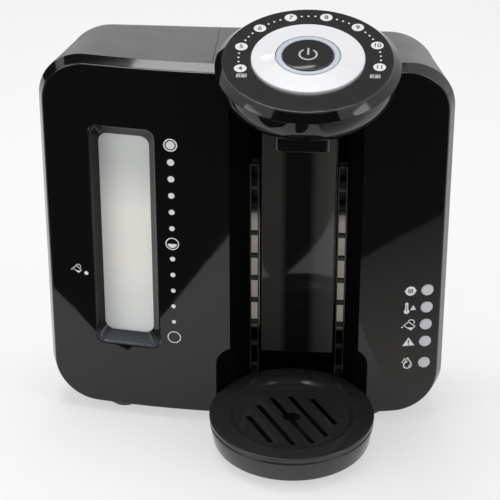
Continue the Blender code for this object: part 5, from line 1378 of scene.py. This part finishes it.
lamp_frost = frosted("lamp_frost", (0.60, 0.61, 0.645), (0.70, 0.71, 0.74), 1500.0)
FLANGE_DEPTH = PANEL_WALL + GAP
FLANGE_END = FLANGE_DEPTH + 0.0013
FLANGE_RADIUS = 0.0060
STEM_RADIUS = 0.0022
STEM_LENGTH = 0.0030
KEY_TRAVEL = 0.0008
CAP_RISE = 0.0011
CAP_SUNK = 0.0001
LAMP_TURN = Matrix.Rotation(math.asin(LAMP_X / BOW_RADIUS), 4, "Z") \
    @ Matrix.Rotation(-math.pi / 2, 4, "X")
LAMPS = (("key_filter", "filter_key"), ("lamp_temperature", "machine"),
         ("key_amount", "amount_key"), ("lamp_descale", "machine"), ("key_rinse", "rinse_key"))
for (name, body), height in zip(LAMPS, LAMP_HEIGHTS):
    dome = [(LAMP_RADIUS * out, CAP_SUNK - CAP_RISE * up ** 0.8) for out, up in quarter(8)[:-1]]
    stem = FLANGE_END + STEM_LENGTH + (KEY_TRAVEL if body == "machine" else 0.0)
    cap = turned("cap", dome + [
        (LAMP_RADIUS, CAP_SUNK), (LAMP_RADIUS, FLANGE_DEPTH), (FLANGE_RADIUS, FLANGE_DEPTH),
        (FLANGE_RADIUS, FLANGE_END), (STEM_RADIUS, FLANGE_END), (STEM_RADIUS, stem - 0.0003),
        (STEM_RADIUS - 0.0003, stem), (0.0, stem)],
        Matrix.Translation(lamp_point(height, 0.0)) @ LAMP_TURN, 64)
    fitted(cap, name + "_cap", lamp_frost, body, [name], angle=40)


# Nozzles
# Two short steel tubes with a turned bead and a rounded mouth, one for hot and one for cold water.

def brushed(name, colour, rough, scale):
    """Machined steel: fine turning lines round the piece's height."""
    material, tree, shader, place = blank(name)
    squeeze = add(tree, "Mapping", Vector=place, Scale=(0.05, 0.05, 1.0))
    lines = add(tree, "TexNoise", Vector=squeeze, Scale=scale)
    band = add(tree, "MapRange", Value=lines, To_Min=rough[0], To_Max=rough[1])
    bump = add(tree, "Bump", Strength=0.2, Distance=0.00005, Height=lines)
    feed(shader, Metallic=1.0, Base_Color=(*colour, 1.0), Roughness=band, Normal=bump)
    return material


nozzle_steel = brushed("nozzle_steel", (0.60, 0.60, 0.61), (0.16, 0.32), 9000.0)
NOZZLE_BORE = 0.0018
NOZZLE_HALF = 0.0035
for side, name in ((-1, "hot_nozzle"), (1, "cold_nozzle")):
    low, high = OUTLET_LOW - NOZZLE_HALF, OUTLET_LOW + NOZZLE_HALF
    tube = eased([(NOZZLE_BORE, low), (NOZZLE_RADIUS - 0.0003, low), (NOZZLE_RADIUS, low + 0.0012),
                  (NOZZLE_RADIUS, high), (NOZZLE_BORE, high)], 0.0003, 3)
    place = Matrix.Translation((OUTLET_X + side * NOZZLE_ASIDE, nozzle_y, 0.0))
    fitted(turned("tube", tube, place, 48), name + "_tube", nozzle_steel, "machine",
           [name])


# Water tank
# A frosted open tank with a rounded foot and a spout below; its front shows in the window.
# A ribbed filter cartridge stands in it over the spring valve.

TANK_LEFT = -0.124
TANK_RIGHT = -0.027
TANK_LOW = 0.020
TANK_HIGH = 0.261
TANK_WALL = 0.0020
TANK_FRONT = FACE_Y + 0.0098 + 0.0012
TANK_BACK = BACK_Y - 0.0025 - 0.0030
SOCKET_X = (TANK_LEFT + TANK_RIGHT) / 2
SOCKET_Y = 0.0328
SPOUT_LOW = TANK_LOW - 0.0045


def tank_plan(inset):
    """Plan of the tank: bowed in front, with rounded corners."""
    places = [TANK_LEFT + (TANK_RIGHT - TANK_LEFT) * step / 10 for step in range(1, 10)]
    corners = [(TANK_LEFT + inset, TANK_FRONT + bow(TANK_LEFT) + inset)]
    corners += [(x, TANK_FRONT + bow(x) + inset) for x in places]
    corners += [(TANK_RIGHT - inset, TANK_FRONT + bow(TANK_RIGHT) + inset),
                (TANK_RIGHT - inset, TANK_BACK - inset), (TANK_LEFT + inset, TANK_BACK - inset)]
    return eased(corners, 0.0080 - inset, 8)


def frosted_tank():
    """Frosted polypropylene, milky, with a painted glow for light from behind, darker and cooler at
    top and bottom.
    """
    material, tree, shader, place = blank("frosted_tank")
    ramp = toned(material, (0, 0, 1), 0.060, 0.250, (
        (0.0, (0.45, 0.48, 0.48)), (0.35, (0.59, 0.58, 0.55)), (0.60, (0.59, 0.58, 0.55)),
        (0.80, (0.42, 0.43, 0.42))))
    # darker towards the window's left side
    side = add(tree, "MapRange", Value=add(tree, "SeparateXYZ", place).outputs["X"],
               From_Min=WINDOW_X - 0.022, From_Max=WINDOW_X + 0.006, To_Min=0.70, To_Max=1.0,
               interpolation_type="SMOOTHSTEP")
    tone = add(tree, "Mix", data_type="RGBA", blend_type="MULTIPLY", Factor=1.0, A=ramp, B=side)
    cloud = add(tree, "TexNoise", Vector=place, Scale=700.0)
    bump = add(tree, "Bump", Strength=0.15, Distance=0.0001, Height=cloud)
    # painted light: the tank glows in its own colour
    feed(shader, Base_Color=tone, Emission_Color=tone, Emission_Strength=0.50, Roughness=0.5,
         Normal=bump)
    return material


SOCKET_PLACE = Matrix.Translation((SOCKET_X, SOCKET_Y, 0.0))
tank = prism("tank", tank_plan(0.0), TANK_LOW, TANK_HIGH)
softened(tank, 0.0012, 3, 60)
SPOUT_RADIUS = 0.0090
SPOUT_BORE = 0.0050
VALVE_HOLE = 0.0021
spout_top = TANK_LOW + TANK_WALL / 2
spout = turned("spout", [(0.0, SPOUT_LOW), (SPOUT_RADIUS - 0.0004, SPOUT_LOW),
                         (SPOUT_RADIUS, SPOUT_LOW + 0.0006), (SPOUT_RADIUS, spout_top),
                         (0.0, spout_top)], SOCKET_PLACE, 64)
combined(tank, [spout], "UNION")
hollow = prism("hollow", tank_plan(TANK_WALL), TANK_LOW + TANK_WALL, TANK_HIGH + OVERRUN)
bore = turned("bore", [(0.0, SPOUT_LOW - OVERRUN), (SPOUT_BORE, SPOUT_LOW - OVERRUN),
                       (SPOUT_BORE, TANK_LOW), (VALVE_HOLE, TANK_LOW),
                       (VALVE_HOLE, TANK_LOW + OVERRUN), (0.0, TANK_LOW + OVERRUN)],
              SOCKET_PLACE, 48)
combined(tank, [hollow, bore])
dropped(spout, hollow, bore)
fitted(tank, "water_tank_frosted", frosted_tank(), "tank", ["water_tank"])

CARTRIDGE_HIGH = 0.070
CARTRIDGE_RADIUS = 0.01644
CARTRIDGE_WALL = 0.0018
RIB_COUNT, RIB_PITCH, RIB_DEPTH = 6, 0.0100, 0.0007
cartridge_satin = moulded("cartridge_satin", (0.055, 0.055, 0.058), (0.09, 0.09, 0.09),
                          (0.28, 0.42), grain=(2600.0, 0.12), ripple=0.04)
seat = TANK_LOW + TANK_WALL + GAP
top = seat + CARTRIDGE_HIGH
wide = CARTRIDGE_RADIUS
profile = [(0.0, top), (0.0060, top), (0.0060, top - 0.0052), (0.0070, top - 0.0060),
           (wide, top - 0.0060)]
for step in range(RIB_COUNT):
    height = top - 0.0110 - step * RIB_PITCH
    profile += [(wide, height), (wide - RIB_DEPTH, height - 0.0008),
                (wide - RIB_DEPTH, height - 0.0030), (wide, height - 0.0038)]
profile += [(wide, seat), (wide - CARTRIDGE_WALL, seat), (wide - CARTRIDGE_WALL, top - 0.0078),
            (0.0, top - 0.0078)]
cartridge = turned("cartridge", eased(profile, 0.0005, 3), SOCKET_PLACE, 96)
finger = block("finger", (0.0028, -0.0012, top - 0.0052), (wide - 0.002, 0.0012, top - 0.0057))
repeated(finger, Count=6, Turn=math.radians(60.0), Material=cartridge_satin)
placed(finger, SOCKET_PLACE)
combined(cartridge, [finger], "UNION")
dropped(finger)
fitted(cartridge, "filter_cartridge_ribbed", cartridge_satin, "tank",
       ["filter_cartridge"])

SPRING_TURNS, SPRING_STEPS = 3, 20
SPRING_RADIUS = 0.0027
WIRE_RADIUS = 0.00024
spring_low, spring_high = SPOUT_LOW + 0.0021, TANK_LOW - 0.0008
wire = bpy.data.curves.new("wire", "CURVE")
wire.dimensions = "3D"
wire.bevel_depth = WIRE_RADIUS
wire.bevel_resolution = 3
wire.use_fill_caps = True
line = wire.splines.new("POLY")
line.points.add(SPRING_TURNS * SPRING_STEPS)
for step, point in enumerate(line.points):
    share = step / (SPRING_TURNS * SPRING_STEPS)
    spot = polar(SOCKET_X, SOCKET_Y, SPRING_RADIUS, math.tau * step / SPRING_STEPS)
    point.co = (*spot, spring_low + (spring_high - spring_low) * share, 1.0)
coil = linked("coil", curve_mesh(wire))
spring_steel = brushed("spring_steel", (0.50, 0.50, 0.51), (0.20, 0.34), 8000.0)
fitted(coil, "valve_spring_coil", spring_steel, "tank", ["valve_spring"], angle=60)
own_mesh(coil)


# Underside
# Four rubber feet with a hollow ring pressed into their soles, and cross-headed screws beside them.

FOOT_RADIUS = 0.0112
FOOT_STEM = 0.0032
BASE_RIGHT, BASE_FRONT, BASE_BACK = 0.108, 0.01155, 0.06755
FOOT_IN = 0.0132
foot_rubber = moulded("foot_rubber", (0.018, 0.018, 0.018), (0.05, 0.05, 0.05), (0.55, 0.75),
                      grain=(1800.0, 0.30), ripple=0.05)
base_top = CASE_UNDERSIDE - GAP
base_low = base_top - 0.0022
head_top = base_low - GAP
foot_profile = eased([(0.0, base_top), (FOOT_STEM, base_top), (FOOT_STEM, head_top),
                      (FOOT_RADIUS, head_top), (FOOT_RADIUS, 0.0), (0.0088, 0.0),
                      (0.0083, 0.0006), (0.0062, 0.0006), (0.0057, 0.0), (0.0, 0.0)], 0.0005, 3)
for row, y in (("front", BASE_FRONT + FOOT_IN), ("rear", BASE_BACK - FOOT_IN)):
    for side, x in (("left", FOOT_IN - BASE_RIGHT), ("right", BASE_RIGHT - FOOT_IN)):
        sole = turned("sole", foot_profile, Matrix.Translation((x, y, 0.0)), 72)
        fitted(sole, f"foot_{row}_{side}_sole", foot_rubber, "machine",
               [f"foot_{row}_{side}"])

SCREW_IN = 0.0055
SCREW_HEAD = 0.0030
THREAD_RADIUS, THREAD_DEPTH, THREAD_PITCH = 0.0014, 0.0003, 0.0006
screw_steel = brushed("screw_steel", (0.42, 0.42, 0.43), (0.22, 0.38), 6000.0)
screw_x, screw_y = BASE_RIGHT - SCREW_IN, (BASE_FRONT + BASE_BACK) / 2
for name, x, y in (("left", -screw_x, screw_y), ("right", screw_x, screw_y),
                   ("rear_left", -screw_x / 3, BASE_BACK - SCREW_IN),
                   ("rear_right", screw_x / 3, BASE_BACK - SCREW_IN)):
    profile = [(0.0, head_top + 0.0036), (0.0010, head_top + 0.0036)]
    for step in range(5):
        height = head_top + 0.0033 - step * THREAD_PITCH
        profile += [(THREAD_RADIUS, height), (THREAD_RADIUS - THREAD_DEPTH, height - THREAD_DEPTH)]
    profile += [(THREAD_RADIUS, head_top), (SCREW_HEAD, head_top), (0.0029, head_top - 0.0007),
                (0.0022, head_top - 0.0012), (0.0, head_top - 0.0012)]
    screw = turned("screw", profile, Matrix.Translation((x, y, 0.0)), 40)
    cross = [block("cross", (x - a, y - b, head_top - 0.0020), (x + a, y + b, head_top - 0.0005))
             for a, b in ((0.0016, 0.00035), (0.00035, 0.0016))]
    combined(screw, cross)
    dropped(*cross)
    fitted(screw, f"base_screw_{name}_cross", screw_steel, "machine",
           [f"base_screw_{name}"])


# Works
# Behind the panels: a pump with a finned motor, a boiler held by two bands and the power board with
# their parts. Hoses, base plate, cradle, socket, seal and partition keep their own solids.

works_green, green_tree, green_shader, green_place = blank("board_green")
tracks = add(green_tree, "TexBrick", Vector=green_place, Scale=160.0, Mortar_Size=0.06,
             Color1=(0.010, 0.070, 0.030, 1.0), Color2=(0.014, 0.090, 0.038, 1.0),
             Mortar=(0.030, 0.150, 0.060, 1.0))
feed(green_shader, Base_Color=tracks, Roughness=0.35)
works_steel = brushed("works_steel", (0.52, 0.52, 0.53), (0.20, 0.36), 3000.0)
works_rubber = moulded("works_rubber", (0.020, 0.020, 0.020), (0.05, 0.05, 0.05), (0.45, 0.62),
                       grain=(1500.0, 0.25), ripple=0.05)
works_satin = moulded("works_satin", (0.070, 0.069, 0.068), (0.12, 0.12, 0.12), (0.32, 0.46),
                      grain=(2200.0, 0.22), ripple=0.04)
for material, names in ((works_rubber, "valve_plunger socket_seal feed_hose boiler_hose "
                         "outlet_hose inlet_gland"),
                        (works_satin, "tank_cradle tank_socket tank_partition base_plate "
                         "start_switch"),
                        (works_green, "control_board lamp_board power_board")):
    for name in names.split():
        for slot in nodes[name].material_slots:
            slot.material = material

PORT = 0.0030
PUMP_X, PUMP_Y = 0.095, 0.04255
PUMP_RADIUS = 0.0135
FIN_COUNT, FIN_PITCH, FIN_RADIUS, FIN_FOOT = 7, 0.0030, 0.0133, 0.0120
pump_low = CASE_FLOOR + GAP
pump_top = pump_low + 0.040
profile = [(0.0, pump_low), (PUMP_RADIUS - 0.0005, pump_low), (PUMP_RADIUS, pump_low + 0.0005),
           (PUMP_RADIUS, pump_low + 0.0120), (FIN_FOOT, pump_low + 0.0126)]
for step in range(FIN_COUNT):
    height = pump_low + 0.0140 + step * FIN_PITCH
    profile += [(FIN_FOOT, height), (FIN_RADIUS, height + 0.0004), (FIN_RADIUS, height + 0.0014),
                (FIN_FOOT, height + 0.0018)]
profile += [(FIN_FOOT, pump_top - 0.0030), (0.0110, pump_top)]
profile += [(PORT - narrow, pump_top + rise) for narrow, rise in (
    (0.0, 0.0), (0.0, 0.0030), (0.0004, 0.0034), (0.0, 0.0042), (0.0, 2 * PORT), (PORT, 2 * PORT))]
pump = turned("pump_shape", profile, Matrix.Translation((PUMP_X, PUMP_Y, 0.0)), 64)
inlet_z = CASE_FLOOR + 0.0063
pump_inlet = rod("pump_inlet", (PUMP_X, PUMP_Y, inlet_z),
                 (PUMP_X, PUMP_Y + PUMP_RADIUS + PORT, inlet_z), PORT)
combined(pump, [pump_inlet], "UNION")
dropped(pump_inlet)
fitted(pump, "pump_finned", works_satin, "machine", ["pump"])

BOILER_RADIUS = 0.0100
BOILER_HALF = 0.0350
BAND_HALF = 0.0026
LEG_FRONT, LEG_HALF, LEG_HIGH = 0.0028, 0.0030, 0.0060
boiler_y, boiler_z = BACK_Y - 0.0185, 0.120


def lying(x):
    """Places a turned profile on the boiler's line, with its axis along X."""
    return Matrix.Translation((x, boiler_y, boiler_z)) @ Matrix.Rotation(math.pi / 2, 4, "Y")


half = [(0.0, 0.0410), (PORT, 0.0410), (PORT, 0.0352), (0.0090, BOILER_HALF), (0.0098, 0.0342),
        (BOILER_RADIUS, 0.0330), (BOILER_RADIUS, 0.0300), (0.0096, 0.0297), (0.0096, 0.0200)]
boiler = turned("boiler_shape", half + [(r, -h) for r, h in reversed(half)], lying(BAY_X), 64)
legs = []
for side in (-1, 1):
    x = BAY_X + side * BOILER_HALF * 2 / 3
    legs.append(turned("band", [(0.0, -BAND_HALF), (BOILER_RADIUS, -BAND_HALF),
                                (BOILER_RADIUS, BAND_HALF), (0.0, BAND_HALF)], lying(x), 64))
    legs.append(block("leg", (x - LEG_HALF, boiler_y, boiler_z - LEG_HIGH),
                      (x + LEG_HALF, BACK_Y - LEG_FRONT, boiler_z + LEG_HIGH)))
combined(boiler, legs, "UNION")
dropped(*legs)
fitted(boiler, "boiler_banded", works_steel, "machine", ["boiler"])

# parts on the power board: x, z, radius and height of the round ones, half sizes of the others
BOARD_X = 0.108
BOARD_SINK = 0.0002
board_front = BACK_Y - 0.0028 - 0.0060 - 0.0016
parts = [rod("can", (BOARD_X + x, board_front + BOARD_SINK, z),
             (BOARD_X + x, board_front - high, z), radius) for x, z, radius, high in (
    (-0.009, 0.165, 0.0040, 0.0090), (0.002, 0.163, 0.0040, 0.0090),
    (0.010, 0.216, 0.0030, 0.0070))]
parts += [block("part", (BOARD_X + x - a, board_front - high, z - b),
                (BOARD_X + x + a, board_front + BOARD_SINK, z + b)) for x, z, a, b, high in (
    (-0.006, 0.188, 0.0075, 0.0090, 0.0110), (0.009, 0.186, 0.0045, 0.0070, 0.0080),
    (-0.006, 0.214, 0.0060, 0.0045, 0.0018), (0.010, 0.202, 0.0040, 0.0030, 0.0020))]
first = parts[0]
combined(first, parts[1:], "UNION")
softened(first, 0.0004, 2, 60)
dropped(*parts[1:])
fitted(first, "power_board_parts", works_satin, "machine")
